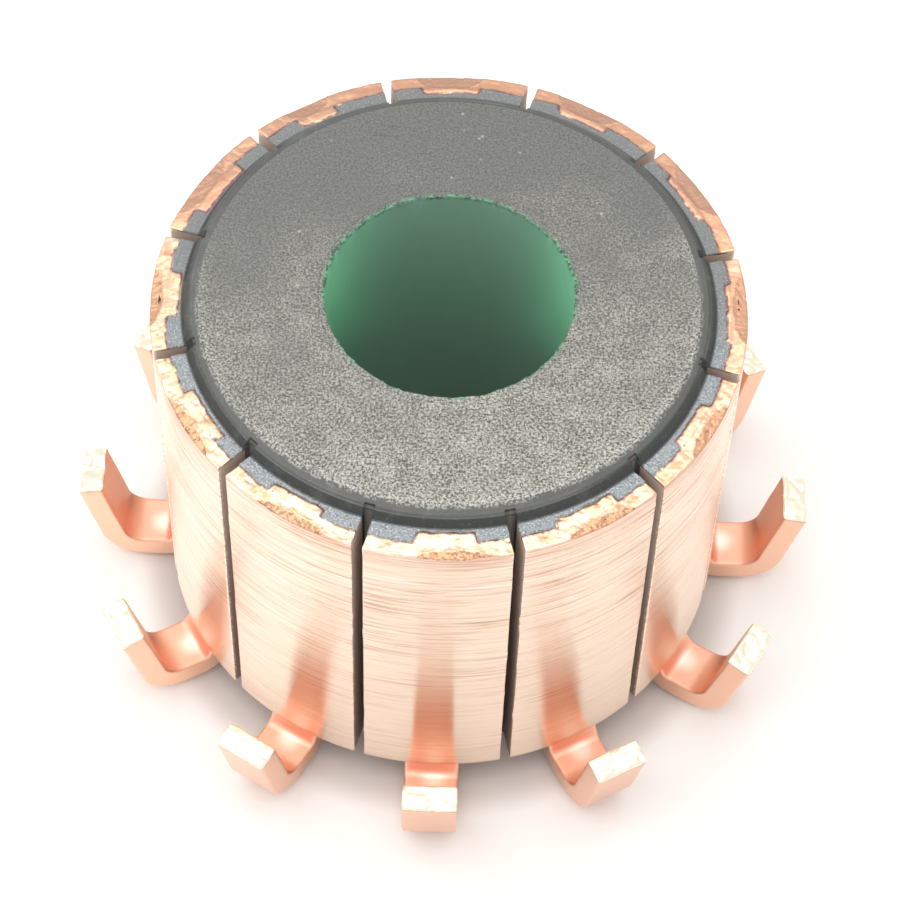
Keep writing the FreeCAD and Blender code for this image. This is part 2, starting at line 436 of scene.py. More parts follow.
def block(
    first: np.ndarray, second: np.ndarray, third: np.ndarray, edge: float
) -> tuple[np.ndarray, np.ndarray]:
    """Closed skin of a box with rounded edges.

    Args:
        first: Grid lines along the first direction.
        second: Grid lines along the second.
        third: Grid lines along the third, right-handed with the others.
        edge: Radius of the rounding.

    Returns:
        The points, and the four point numbers of each face, outwards.
    """
    shape = (len(first), len(second), len(third))
    outer = np.zeros(shape, bool)
    for axis in range(3):
        for side in (0, -1):
            outer[tuple(side if axis == other else slice(None) for other in range(3))] = True
    number = np.full(shape, -1)
    number[outer] = np.arange(outer.sum())
    grid = np.stack(np.meshgrid(first, second, third, indexing="ij"), axis=-1)
    points = grid[outer]
    lowest = points.min(axis=0) + edge
    highest = points.max(axis=0) - edge
    core = np.clip(points, lowest, highest)
    away = points - core
    points = core + edge * away / np.linalg.norm(away, axis=1, keepdims=True)
    sides = [(axis, side) for axis in range(3) for side in (0, -1)]
    faces = [skin(number.take(side, axis), (side == 0) != (axis == 1)) for axis, side in sides]
    return points, np.concatenate(faces)


def skin(number: np.ndarray, flip: bool) -> np.ndarray:
    """Faces over a grid of points.

    Args:
        number: The points' numbers.
        flip: Whether the faces are turned over.

    Returns:
        The four point numbers of each face.
    """
    corners = (number[:-1, :-1], number[1:, :-1], number[1:, 1:], number[:-1, 1:])
    quads = np.stack(corners, axis=-1).reshape(-1, 4)
    return quads[:, ::-1] if flip else quads


def ring(count: int, length: int) -> np.ndarray:
    """Faces over points in outlines that close on themselves, as does their ring.

    Args:
        count: Number of outlines.
        length: Points in each.

    Returns:
        The four point numbers of each face.
    """
    number = np.arange(count * length).reshape(count, length)
    number = np.concatenate([number, number[:1]], axis=0)
    return skin(np.concatenate([number, number[:, :1]], axis=1), False)


def turned(radius: np.ndarray, turn: np.ndarray, height: np.ndarray) -> np.ndarray:
    """Points turned from -Y towards +X.

    Args:
        radius: Radius of each point.
        turn: Its angle in radians.
        height: Its height.

    Returns:
        The points.
    """
    height = np.broadcast_to(height, radius.shape)
    return np.stack([radius * np.sin(turn), -radius * np.cos(turn), height], axis=-1)


def new_mesh(name: str, points: np.ndarray, faces: np.ndarray, scale: float = MM) -> bpy.types.Object:
    """Makes an object of a mesh, smooth all over, at the origin.

    Args:
        name: Name of the object and its mesh.
        points: Its points.
        faces: Its faces, four point numbers each.
        scale: What turns the points into metres.

    Returns:
        The object, linked to the scene.
    """
    mesh = bpy.data.meshes.new(name)
    mesh.from_pydata((points * scale).tolist(), [], faces.tolist())
    mesh.polygons.foreach_set("use_smooth", np.ones(len(mesh.polygons), bool))
    mesh.update()
    return show(name, mesh)


def show(name: str, data: bpy.types.ID) -> bpy.types.Object:
    """Makes an object.

    Args:
        name: Its name.
        data: The mesh, lamp or camera that it shows.

    Returns:
        The object, linked to the scene.
    """
    made = bpy.data.objects.new(name, data)
    bpy.context.scene.collection.objects.link(made)
    return made


def set_mark(mesh: bpy.types.Mesh, name: str, values: np.ndarray) -> None:
    """Stores one number for each point of a mesh."""
    mesh.attributes.new(name, "FLOAT", "POINT").data.foreach_set("value", values.astype(np.float32))


def centre_texture_space(mesh: bpy.types.Mesh) -> None:
    """Centres the mesh's texture space on the shaft, so that stretched reflections follow the turning.

    Args:
        mesh: The mesh of one bar.
    """
    mesh.use_auto_texspace = False
    mesh.texspace_location = (0.0, 0.0, 0.0)
    mesh.texspace_size = (TEXTURE_REACH,) * 3


# Node trees


class Term:
    """A socket that Python's operators extend with Math nodes."""

    def __init__(self, sheet: "Sheet", socket: bpy.types.NodeSocket) -> None:
        """Keeps the socket and the sheet that it stands in."""
        self.sheet = sheet
        self.socket = socket

    def _math(self, operation: str, first: Any, second: Any = 0.0) -> "Term":
        """One Math node."""
        return self.sheet.node("ShaderNodeMath", {0: first, 1: second}, operation=operation)

    def __add__(self, other: Any) -> "Term":
        """Sum."""
        return self._math("ADD", self, other)

    __radd__ = __add__

    def __mul__(self, other: Any) -> "Term":
        """Product."""
        return self._math("MULTIPLY", self, other)

    def __sub__(self, other: Any) -> "Term":
        """Difference."""
        return self._math("SUBTRACT", self, other)

    def __rsub__(self, other: Any) -> "Term":
        """Difference from a number."""
        return self._math("SUBTRACT", other, self)

    def __pow__(self, other: Any) -> "Term":
        """Power."""
        return self._math("POWER", self, other)

    def beside(self, name: str) -> "Term":
        """Another output of the same node."""
        return Term(self.sheet, self.socket.node.outputs[name])

    def least(self, other: Any) -> "Term":
        """The smaller of two values."""
        return self._math("MINIMUM", self, other)

    def most(self, other: Any) -> "Term":
        """The larger of two values."""
        return self._math("MAXIMUM", self, other)

    def step(self, low: float, high: float) -> "Term":
        """Smooth step; it falls where low is above high.

        Args:
            low: Where it is 0.
            high: Where it is 1.

        Returns:
            The share.
        """
        ends = (low, high, 0.0, 1.0) if low < high else (high, low, 1.0, 0.0)
        sockets = {"Value": self, **dict(zip(("From Min", "From Max", "To Min", "To Max"), ends))}
        return self.sheet.node("ShaderNodeMapRange", sockets, interpolation_type="SMOOTHSTEP")


class Sheet:
    """A node tree that grows by one method."""

    def __init__(self, tree: bpy.types.NodeTree) -> None:
        """Keeps the tree."""
        self.tree = tree

    def node(
        self, kind: str, sockets: dict[Any, Any] | None = None, output: Any = 0, **settings: Any
    ) -> Term:
        """Adds a node.

        Args:
            kind: The node's type.
            sockets: Values or terms for its inputs, by name or number.
            output: The output that the result stands for.
            settings: The node's settings.

        Returns:
            That output.
        """
        made = self.tree.nodes.new(kind)
        for name, value in settings.items():
            setattr(made, name, value)
        for name, value in (sockets or {}).items():
            self.feed(made.inputs[name], value)
        return Term(self, made.outputs[output])

    def feed(self, socket: bpy.types.NodeSocket, value: Any) -> None:
        """Links a term to a socket, or sets a plain value.

        Args:
            socket: The socket.
            value: The term or the value.
        """
        if isinstance(value, Term):
            self.tree.links.new(value.socket, socket)
        elif isinstance(value, tuple) and len(value) == 3 and socket.type == "RGBA":
            socket.default_value = (*value, 1.0)
        else:
            socket.default_value = value

    def vector(self, x: Any, y: Any, z: Any) -> Term:
        """Three values as one vector."""
        return self.node("ShaderNodeCombineXYZ", {0: x, 1: y, 2: z})

    def noise(self, place: Term, scale: float, detail: float, roughness: float) -> Term:
        """Noise between 0 and 1 at a place."""
        sockets = {"Vector": place, "Scale": scale, "Detail": detail, "Roughness": roughness}
        return self.node("ShaderNodeTexNoise", sockets)

    def mix(self, share: Any, first: Any, second: Any) -> Term:
        """Two colours mixed: the first at a share of 0, the second at 1."""
        return self.node("ShaderNodeMix", {0: share, 6: first, 7: second}, 2, data_type="RGBA")

    def coats(self, colour: Any, *coats: tuple[Any, Any]) -> Term:
        """A colour under any number of coats.

        Args:
            colour: The colour at the bottom.
            coats: The share that each coat covers, and its colour.

        Returns:
            The colour that shows.
        """
        for share, coat in coats:
            colour = self.mix(share, colour, coat)
        return colour

    def pick(self, kind: str, index: Term, values: list[Any]) -> Term:
        """The value whose number an index gives.

        Args:
            kind: Type of the values.
            index: The index, from 0.
            values: Values or terms.

        Returns:
            The value.
        """
        made = self.tree.nodes.new("GeometryNodeIndexSwitch")
        made.data_type = kind
        while len(made.index_switch_items) < len(values):
            made.index_switch_items.new()
        for socket, value in zip(made.inputs, (index, *values)):
            self.feed(socket, value)
        return Term(self, made.outputs[0])


class PaintSheet(Sheet):
    """The node tree of one finish, with its place on the object in millimetres."""

    def __init__(self, name: str) -> None:
        """Makes the material, and the places on it that the finishes read.

        Args:
            name: The material's name.
        """
        self.material = bpy.data.materials.new(name)
        self.material.use_nodes = True
        super().__init__(self.material.node_tree)
        self.tree.nodes.clear()
        place = self.node("ShaderNodeTexCoord", None, "Object")
        self.place = self.node("ShaderNodeVectorMath", {0: place, "Scale": 1 / MM}, operation="SCALE")
        self.x = self.node("ShaderNodeSeparateXYZ", {0: self.place}, "X")
        self.y = self.x.beside("Y")
        self.z = self.x.beside("Z")
        self.radius = (self.x * self.x + self.y * self.y) ** 0.5
        self.angle = self.node("ShaderNodeMath", {0: self.x, 1: 0.0 - self.y}, operation="ARCTAN2")

    def mark(self, mark: Mark) -> Term:
        """A number stored on the mesh."""
        return self.node("ShaderNodeAttribute", None, "Fac", attribute_name=mark.value)

    def mottle(self, scale: float, detail: float, roughness: float) -> Term:
        """Noise between 0 and 1, the same in every direction."""
        return self.noise(self.place, scale, detail, roughness)

    def streaks(self, x: Any, y: Any, z: Any, detail: float, roughness: float) -> Term:
        """Noise between 0 and 1 over three values, stretched by their scales."""
        return self.noise(self.vector(x, y, z), 1.0, detail, roughness)

    def dots(self, scale: float, outer: float, inner: float) -> Term:
        """Round dots, fading from their inner to their outer radius, both in cells."""
        sockets = {"Vector": self.place, "Scale": scale}
        return self.node("ShaderNodeTexVoronoi", sockets).step(outer, inner)

    def bump(self, height: Term, depth: float, strength: float = 1.0) -> Term:
        """A normal bent by a height between 0 and 1 that stands for a depth in millimetres."""
        sockets = {"Strength": strength, "Distance": depth * MM, "Height": height}
        return self.node("ShaderNodeBump", sockets)

    def end(self, surface: Term) -> bpy.types.Material:
        """Ends the tree.

        Args:
            surface: The shader that goes to the output.

        Returns:
            The material.
        """
        last = self.tree.nodes.new("ShaderNodeOutputMaterial")
        self.feed(last.inputs["Surface"], surface)
        return self.material


# Finishes


@dataclass(frozen=True)
class Finish:
    """What every finish has beside its colours.

    Attributes:
        rough: Roughness.
        relief: Depth of the bumps, in millimetres.
        barrel: The shared sizes.
    """

    rough: float = 0.45
    relief: float = 0.012
    barrel: Barrel = Barrel()

    def close(
        self, sheet: "PaintSheet", colour: Term, height: Term, strength: float, **more: Any
    ) -> bpy.types.Material:
        """Ends a finish's tree.

        Args:
            sheet: The tree.
            colour: Its colour.
            height: Its bumps, between 0 and 1.
            strength: How strongly they bend the light.
            more: Further sockets of the shader, their names written with underscores.

        Returns:
            The material.
        """
        normal = sheet.bump(height, self.relief, strength)
        sockets = {"Base Color": colour, "Roughness": self.rough, "Normal": normal}
        sockets |= {name.replace("_", " "): value for name, value in more.items()}
        surface = sheet.node("ShaderNodeBsdfPrincipled", sockets)
        return sheet.end(surface)


@dataclass(frozen=True)
class TurnedCopper(Finish):
    """Brush surface of the bars, turned on a lathe.

    Attributes:
        base: Bright copper.
        line: Darker turning marks.
        light: Brighter turning marks, and the pale burrs along the side edges, partly painted highlight.
        scratch: Short scratches and pits.
        stretch: How far reflections spread along the shaft.
        turn: Share of a turn that sets the spread along the shaft.
        marked: Heights between which the turning marks reach their full strength, in millimetres.
        worn: Heights between which the worn end sets in.
    """

    base: Colour = (0.90, 0.735, 0.60)
    line: Colour = (0.62, 0.34, 0.23)
    light: Colour = (0.98, 0.89, 0.79)
    scratch: Colour = (0.36, 0.18, 0.11)
    stretch: float = 1.0
    turn: float = 0.25
    marked: Span = (4.0, 17.0)
    worn: Span = (17.1, 18.3)
    rough: float = 0.25

    def make(self) -> bpy.types.Material:
        """Builds the finish.

        Returns:
            The material.
        """
        sheet = PaintSheet("turned_copper")
        arc = sheet.angle * self.barrel.radius
        upper = sheet.z.step(*self.marked) * 0.65 + 0.35
        worn_end = sheet.z.step(*self.worn) * 0.38
        wide = sheet.streaks(arc * 0.16, sheet.z * 5.0, 0.0, 6.0, 0.7)
        fine = sheet.streaks(arc * 0.28, sheet.z * 11.0, 7.0, 4.0, 0.62)
        bright = sheet.streaks(arc * 0.2, sheet.z * 9.0, 21.0, 4.0, 0.6)
        short = sheet.streaks(arc * 2.2, sheet.z * 13.0, 33.0, 3.0, 0.55)
        patch = sheet.streaks(arc * 0.25, sheet.z * 0.5, 5.0, 2.0, 0.5)
        grit = sheet.mottle(5.0, 2.0, 0.6)
        turned = wide.step(0.5, 0.64) * 0.7 + fine.step(0.5, 0.64) * 0.75
        turned = turned * upper * (0.45 + patch.step(0.3, 0.7) * 0.75)
        turned = (turned + worn_end).least(1.0)
        colour = sheet.coats(
            self.base,
            (turned, self.line),
            (bright.step(0.56, 0.66) * upper * 0.9, self.light),
            (short.step(0.69, 0.75) * upper * 0.85, self.scratch),
            # Pale burrs along the side edges, partly painted highlight
            (sheet.mark(Mark.EDGE) * grit.step(0.5, 0.62), self.light),
        )
        spread = {"Anisotropic": self.stretch, "Anisotropic_Rotation": self.turn}
        return self.close(sheet, colour, turned * 0.6 + fine * 0.4, 0.35, Metallic=1.0, **spread)


@dataclass(frozen=True)
class WorkedCopper(Finish):
    """Drawn, sheared and pressed copper: hook strips, cut ends, end faces and slot sides.

    Attributes:
        drawn: Outer and side faces of the hook strip.
        trough: Its inner face.
        shine: Painted highlight in the bend below the bar; the pale burr specks take the same colour.
        cut: Its sheared end.
        pale: End face of the coolest bar.
        orange: End face of the warmest bar, darker as painted shade at the rear.
        blush: Pink and orange blotches on the end faces.
        gold: Yellow blotches.
        tarnish: Pits and the mottling of the facet.
        tan: Lighter half of that mottling.
        painted_facet_shade: Painted shade: tone of the facet on the warmest bar, towards the rear.
        painted_rear_shade: Painted shade: browner tone of the end faces and facets at the rear.
        seam: Painted shadow: a dark line along the resin film's border and round the strip next to its cut
            end.
        smut: Resin dust on the slot sides.
        darker_dust: The dust's darker tone towards their foot.
        rear: From where to where along Y that painted shade sets in, in millimetres.
        dusty: Heights between which the dust sets in, downwards.
        darkening: Heights between which it darkens.
        burrs: Radii between which pale burr specks, in the painted highlight's colour, show through it.
    """

    drawn: Colour = (0.86, 0.55, 0.40)
    trough: Colour = (0.91, 0.50, 0.36)
    shine: Colour = (1.0, 0.90, 0.78)
    cut: Colour = (0.93, 0.86, 0.68)
    pale: Colour = (0.89, 0.71, 0.52)
    orange: Colour = (0.89, 0.46, 0.29)
    blush: Colour = (0.84, 0.39, 0.25)
    gold: Colour = (0.92, 0.60, 0.31)
    tarnish: Colour = (0.26, 0.13, 0.07)
    tan: Colour = (0.70, 0.37, 0.20)
    painted_facet_shade: Colour = (0.52, 0.31, 0.24)
    painted_rear_shade: Colour = (0.44, 0.27, 0.20)
    seam: Colour = (0.09, 0.035, 0.06)
    smut: Colour = (0.54, 0.43, 0.36)
    darker_dust: Colour = (0.36, 0.28, 0.24)
    rear: Span = (4.0, 9.0)
    dusty: Span = (18.9, 18.6)
    darkening: Span = (16.0, 8.0)
    burrs: Span = (11.84, 11.93)
    rough: float = 0.3
    relief: float = 0.05

    def make(self) -> bpy.types.Material:
        """Builds the finish.

        Returns:
            The material.
        """
        sheet = PaintSheet("worked_copper")
        marks = (Mark.CUT, Mark.FACE, Mark.FACET, Mark.INNER, Mark.WARM)
        cut, face, facet, inner, warm = (sheet.mark(mark) for mark in marks)
        blotch = sheet.mottle(1.5, 4.0, 0.62)
        other = sheet.mottle(2.7, 3.0, 0.65)
        speck = sheet.mottle(8.0, 2.0, 0.65)
        lump = sheet.mottle(3.6, 3.0, 0.6)
        drag = sheet.streaks(sheet.angle * 5.0, sheet.z * 6.0, 0.0, 4.0, 0.6)
        pit = sheet.dots(1.9, 0.16, 0.08)
        # The end faces turn from pale to orange by the warm mark, which rises towards the rear: painted shade
        ends = sheet.coats(
            sheet.mix(warm, self.pale, self.orange),
            (other.step(0.5, 0.66) * 0.75, self.gold),
            (blotch.step(0.5, 0.64) * 0.7, self.blush),
            (pit * (1.0 - warm * 0.7) * 0.8, self.tarnish),
        )
        mottling = (speck * 0.6 + blotch * 0.4 + warm * 0.2).step(0.45, 0.57)
        # Painted shade: the facets of the warmest bars, towards the rear, take a duller tone
        mottled = sheet.coats(self.tarnish, (mottling, self.tan), (warm * 0.75, self.painted_facet_shade))
        # Painted shade: end faces and facets turn browner towards the rear
        rear = (sheet.y + other * 4.0).step(*self.rear) * face.most(facet)
        dust = sheet.mark(Mark.SIDE) * (sheet.z + blotch * 0.8).step(*self.dusty)
        # Pale burr specks on the dusty slot sides take the painted highlight's colour
        burr = sheet.radius.step(*self.burrs) * speck.step(0.5, 0.56) * dust
        # Painted shadow: a dark line along the film's border and round the strip next to its cut end
        painted_line_shadow = sheet.mark(Mark.SEAM) * blotch.step(0.32, 0.5)
        colour = sheet.coats(
            sheet.mix(drag.step(0.5, 0.72) * 0.35, self.drawn, self.trough),
            (inner, self.trough),
            # Painted highlight in the trough's bend
            (sheet.mark(Mark.SHINE), self.shine),
            (face, ends),
            (facet * 0.9, mottled),
            (rear * 0.55, self.painted_rear_shade),
            (cut, sheet.mix(lump.step(0.56, 0.68) * 0.5, self.cut, self.gold)),
            (dust, sheet.mix(sheet.z.step(*self.darkening), self.smut, self.darker_dust)),
            (burr, self.shine),
            (painted_line_shadow, self.seam),
        )
        height = lump * (face * (0.5 - warm * 0.35) + cut * 0.1)
        height = height + speck * (facet * 0.5 + face * 0.15 + cut * 0.08)
        metal = (1.0 - dust) * (1.0 - painted_line_shadow * 0.5)
        rough = self.rough + facet * 0.12 + dust * 0.3 + inner * 0.2
        return self.close(sheet, colour, height, 0.8, Metallic=metal, Roughness=rough)


@dataclass(frozen=True)
class SawnResin(Finish):
    """Machined top of the raised disc: grey resin with a fine weave of light filler.

    Attributes:
        base: Resin between the specks.
        speck: Filler.
        even: Plain tone towards the back, where the specks fade; their strength towards the front is painted
            sheen.
        fleck: Bright single grains.
        rim: Radii between which such grains crowd towards the disc's edge, in millimetres.
    """

    base: Colour = (0.058, 0.058, 0.053)
    speck: Colour = (0.60, 0.58, 0.50)
    even: Colour = (0.115, 0.118, 0.113)
    fleck: Colour = (0.62, 0.62, 0.58)
    rim: Span = (9.5, 9.98)
    rough: float = 0.55
    relief: float = 0.03

    def colour(self, sheet: "PaintSheet") -> tuple[Term, Term]:
        """Builds the colour and the relief.

        Args:
            sheet: The tree that they go into.

        Returns:
            Colour and relief.
        """
        fine = sheet.mottle(10.0, 3.0, 0.75)
        lengthwise = sheet.streaks(sheet.x * 6.0, sheet.y * 16.0, 0.0, 2.0, 0.6)
        crosswise = sheet.streaks(sheet.x * 15.0, sheet.y * 6.0, 4.0, 2.0, 0.6)
        drag = sheet.streaks(sheet.x * 0.5, sheet.y * 8.0, 9.0, 3.0, 0.6)
        cloud = sheet.mottle(0.35, 3.0, 0.55)
        haze = sheet.mottle(1.3, 4.0, 0.6)
        grain = (fine * 0.6 + lengthwise.most(crosswise) * 0.4 + haze * 0.12).step(0.48, 0.7)
        # Painted sheen: the specks grow stronger towards the front and fade to the even tone at the back
        coarse = (sheet.y * -0.06 + sheet.x * 0.008 + cloud * 0.8).step(-0.05, 1.07)
        rim = sheet.radius.step(*self.rim) * coarse
        colour = sheet.coats(
            self.even,
            (haze.step(0.3, 0.75) * 0.35, self.base),
            (grain * 0.08, self.speck),
            (0.12 + coarse * 0.88, sheet.mix(grain, self.base, self.speck)),
            (drag.step(0.6, 0.7) * cloud.step(0.42, 0.6) * 0.5, self.base),
            (rim * fine.step(0.45, 0.6) * 0.6, self.fleck),
            (sheet.dots(1.1, 0.11, 0.05) * cloud.step(0.4, 0.6) * 0.4, self.fleck),
        )
        return colour, fine * (0.25 + coarse * 0.75)

    def make(self) -> bpy.types.Material:
        """Builds the finish.

        Returns:
            The material.
        """
        sheet = PaintSheet("sawn_resin")
        colour, height = self.colour(sheet)
        return self.close(sheet, colour, height, 0.5)


@dataclass(frozen=True)
class MouldedResin(Finish):
    """Smooth moulded skin of the resin: the disc's bevel and wall, the slots' floors and the collar.

    Attributes:
        wall: The disc's wall and the collar, darker than the bevel as painted shade.
        bevel: Bevel at the front.
        even: Bevel at the rear, darker than at the front as painted shade.
        dusty: Dust and scuffs.
        crumb: Light crumbs along the sawn edge, shown only towards the front as painted sheen.
        slot: Sawn floors and sides of the slots.
        rear: From where to where along Y the bevel takes its rear tone, in millimetres.
        front: From where to where along Y the crumbs set in.
    """

    wall: Colour = (0.032, 0.036, 0.033)
    bevel: Colour = (0.100, 0.104, 0.096)
    even: Colour = (0.050, 0.052, 0.050)
    dusty: Colour = (0.24, 0.24, 0.22)
    crumb: Colour = (0.45, 0.44, 0.39)
    slot: Colour = (0.26, 0.25, 0.23)
    rear: Span = (1.0, 8.0)
    front: Span = (3.0, -3.0)

    def make(self) -> bpy.types.Material:
        """Builds the finish.

        Returns:
            The material.
        """
        b = self.barrel
        sheet = PaintSheet("moulded_resin")
        cloud = sheet.mottle(1.2, 4.0, 0.6)
        fine = sheet.mottle(10.0, 2.0, 0.6)
        rings = sheet.streaks(sheet.radius * 7.0, sheet.angle * 1.6, sheet.z * 7.0, 3.0, 0.6)
        upper = (sheet.z + rings * 0.04).step(b.shoulder + 0.04, b.shoulder + 0.12)
        lip = sheet.z.step(b.shoulder - 0.01, b.shoulder + 0.01)
        lip = lip * sheet.z.step(b.shoulder + 0.06, b.shoulder + 0.02)
        crumbs = (sheet.z + cloud * 0.12).step(b.top - 0.03, b.top + 0.04) * fine.step(0.46, 0.58)
        sawn = sheet.radius.step(b.slot_floor + 0.12, b.slot_floor + 0.04)
        sawn = sawn * sheet.z.step(b.foot + 0.05, b.foot + 0.15) * sheet.z.step(b.shoulder, b.shoulder - 0.15)
        colour = sheet.coats(
            self.wall,
            # Painted shade: the wall stays darker than the bevel, and the bevel is darker at the rear than at
            # the front
            (upper, sheet.mix(sheet.y.step(*self.rear), self.bevel, self.even)),
            (cloud.step(0.5, 0.8) * 0.25 + fine.step(0.6, 0.72) * 0.25, self.dusty),
            (lip * rings.step(0.42, 0.6) * 0.35 + rings.step(0.6, 0.7) * upper * 0.4, self.dusty),
            # Painted sheen: the crumbs show only towards the front
            (crumbs * sheet.y.step(*self.front) * 0.8, self.crumb),
            (sawn, self.slot),
        )
        return self.close(sheet, colour, fine, 0.5)


@dataclass(frozen=True)
class FilmResin(Finish):
    """Thin resin film on the bars' end faces, pale and granular.

    Attributes:
        base: Resin of the film at the front, lighter there as painted sheen.
        rear: The same at the rear, darker as painted shade.
        dark: Dark grains.
        light: Light grains.
        root: Shade where the film meets the disc.
        back: From where to where along Y the film takes its rear tone, in millimetres.
    """

    base: Colour = (0.31, 0.335, 0.35)
    rear: Colour = (0.20, 0.21, 0.205)
    dark: Colour = (0.12, 0.13, 0.135)
    light: Colour = (0.70, 0.73, 0.75)
    root: Colour = (0.03, 0.03, 0.03)
    back: Span = (-5.0, 5.0)
    rough: float = 0.5
    relief: float = 0.03

    def make(self) -> bpy.types.Material:
        """Builds the finish.

        Returns:
            The material.
        """
        sheet = PaintSheet("film_resin")
        fine = sheet.mottle(9.0, 3.0, 0.7)
        other = sheet.noise(sheet.vector(sheet.x, sheet.y, 40.0), 12.0, 2.0, 0.7)
        cloud = sheet.mottle(1.5, 2.0, 0.5)
        # Painted sheen and shade: the film is lighter and more grainy at the front, darker at the rear
        rear = (sheet.y + cloud * 3.0).step(*self.back)
        root = sheet.radius.step(self.barrel.disc_foot + 0.08, self.barrel.disc_foot + 0.01)
        colour = sheet.coats(
            self.base,
            (rear, self.rear),
            (fine.step(0.5, 0.66) * (0.75 - rear * 0.35) + cloud.step(0.5, 0.8) * 0.15, self.dark),
            (other.step(0.54, 0.66) * (0.9 - rear * 0.65), self.light),
            (root * 0.8, self.root),
        )
        return self.close(sheet, colour, fine, 0.8)


@dataclass(frozen=True)
class SleeveGreen(Finish):
    """Green enamel of the insulating sleeve, ragged where the disc was cut across it.

    Attributes:
        base: Wall of the bore.
        light: Its brighter streaks.
        deep: Painted shade over the lower and rear part of the bore.
        crumb: Bright crumbs at the mouth.
        dark: Crumbs in shade.
        resin: The sawn resin that covers the rest of the cut edge.
        streaked: Heights between which the streaks set in, in millimetres.
        dusty: Heights between which that painted shade sets in, downwards.
        shaded: From where to where along Y it covers the rear.
    """

    base: Colour = (0.29, 0.69, 0.43)
    light: Colour = (0.36, 0.78, 0.52)
    deep: Colour = (0.24, 0.37, 0.30)
    crumb: Colour = (0.12, 0.34, 0.18)
    dark: Colour = (0.03, 0.085, 0.045)
    resin: SawnResin = SawnResin()
    streaked: Span = (12.0, 18.0)
    dusty: Span = (17.0, 9.0)
    shaded: Span = (1.5, 4.9)
    rough: float = 0.4

    def make(self) -> bpy.types.Material:
        """Builds the finish.

        Returns:
            The material.
        """
        top = self.barrel.top
        sheet = PaintSheet("sleeve_green")
        cloud = sheet.mottle(0.5, 3.0, 0.5)
        rings = sheet.streaks(sheet.angle * 1.5, sheet.z * 4.0, 0.0, 4.0, 0.6)
        crumbs = sheet.mottle(6.0, 4.0, 0.7)
        tone = sheet.mottle(4.1, 2.0, 0.6)
        sway = sheet.mottle(0.45, 2.0, 0.5)
        crumb = sheet.mix(tone.step(0.45, 0.58), self.dark, self.crumb)
        reach = (crumbs - 0.5) * 0.9 + (sway - 0.5) * 0.5 + (self.barrel.bore + 0.04)
        covered = (sheet.radius - reach).step(-0.01, 0.02) * sheet.z.step(top - 0.05, top - 0.015)
        resin, _ = self.resin.colour(sheet)
        colour = sheet.coats(
            self.base,
            (cloud.step(0.3, 0.8) * 0.4, self.light),
            (rings.step(0.52, 0.75) * sheet.z.step(*self.streaked) * 0.35, self.light),
            # Painted shade: the bore darkens downwards and towards the rear
            (sheet.z.step(*self.dusty).most(sheet.y.step(*self.shaded) * 0.95), self.deep),
            (sheet.z.step(top - 0.25, top - 0.05) * crumbs.step(0.4, 0.6), crumb),
            (sheet.z.step(top - 0.03, top - 0.01), crumb),
            (covered, resin),
        )
        return self.close(sheet, colour, rings, 0.4)


# Pieces


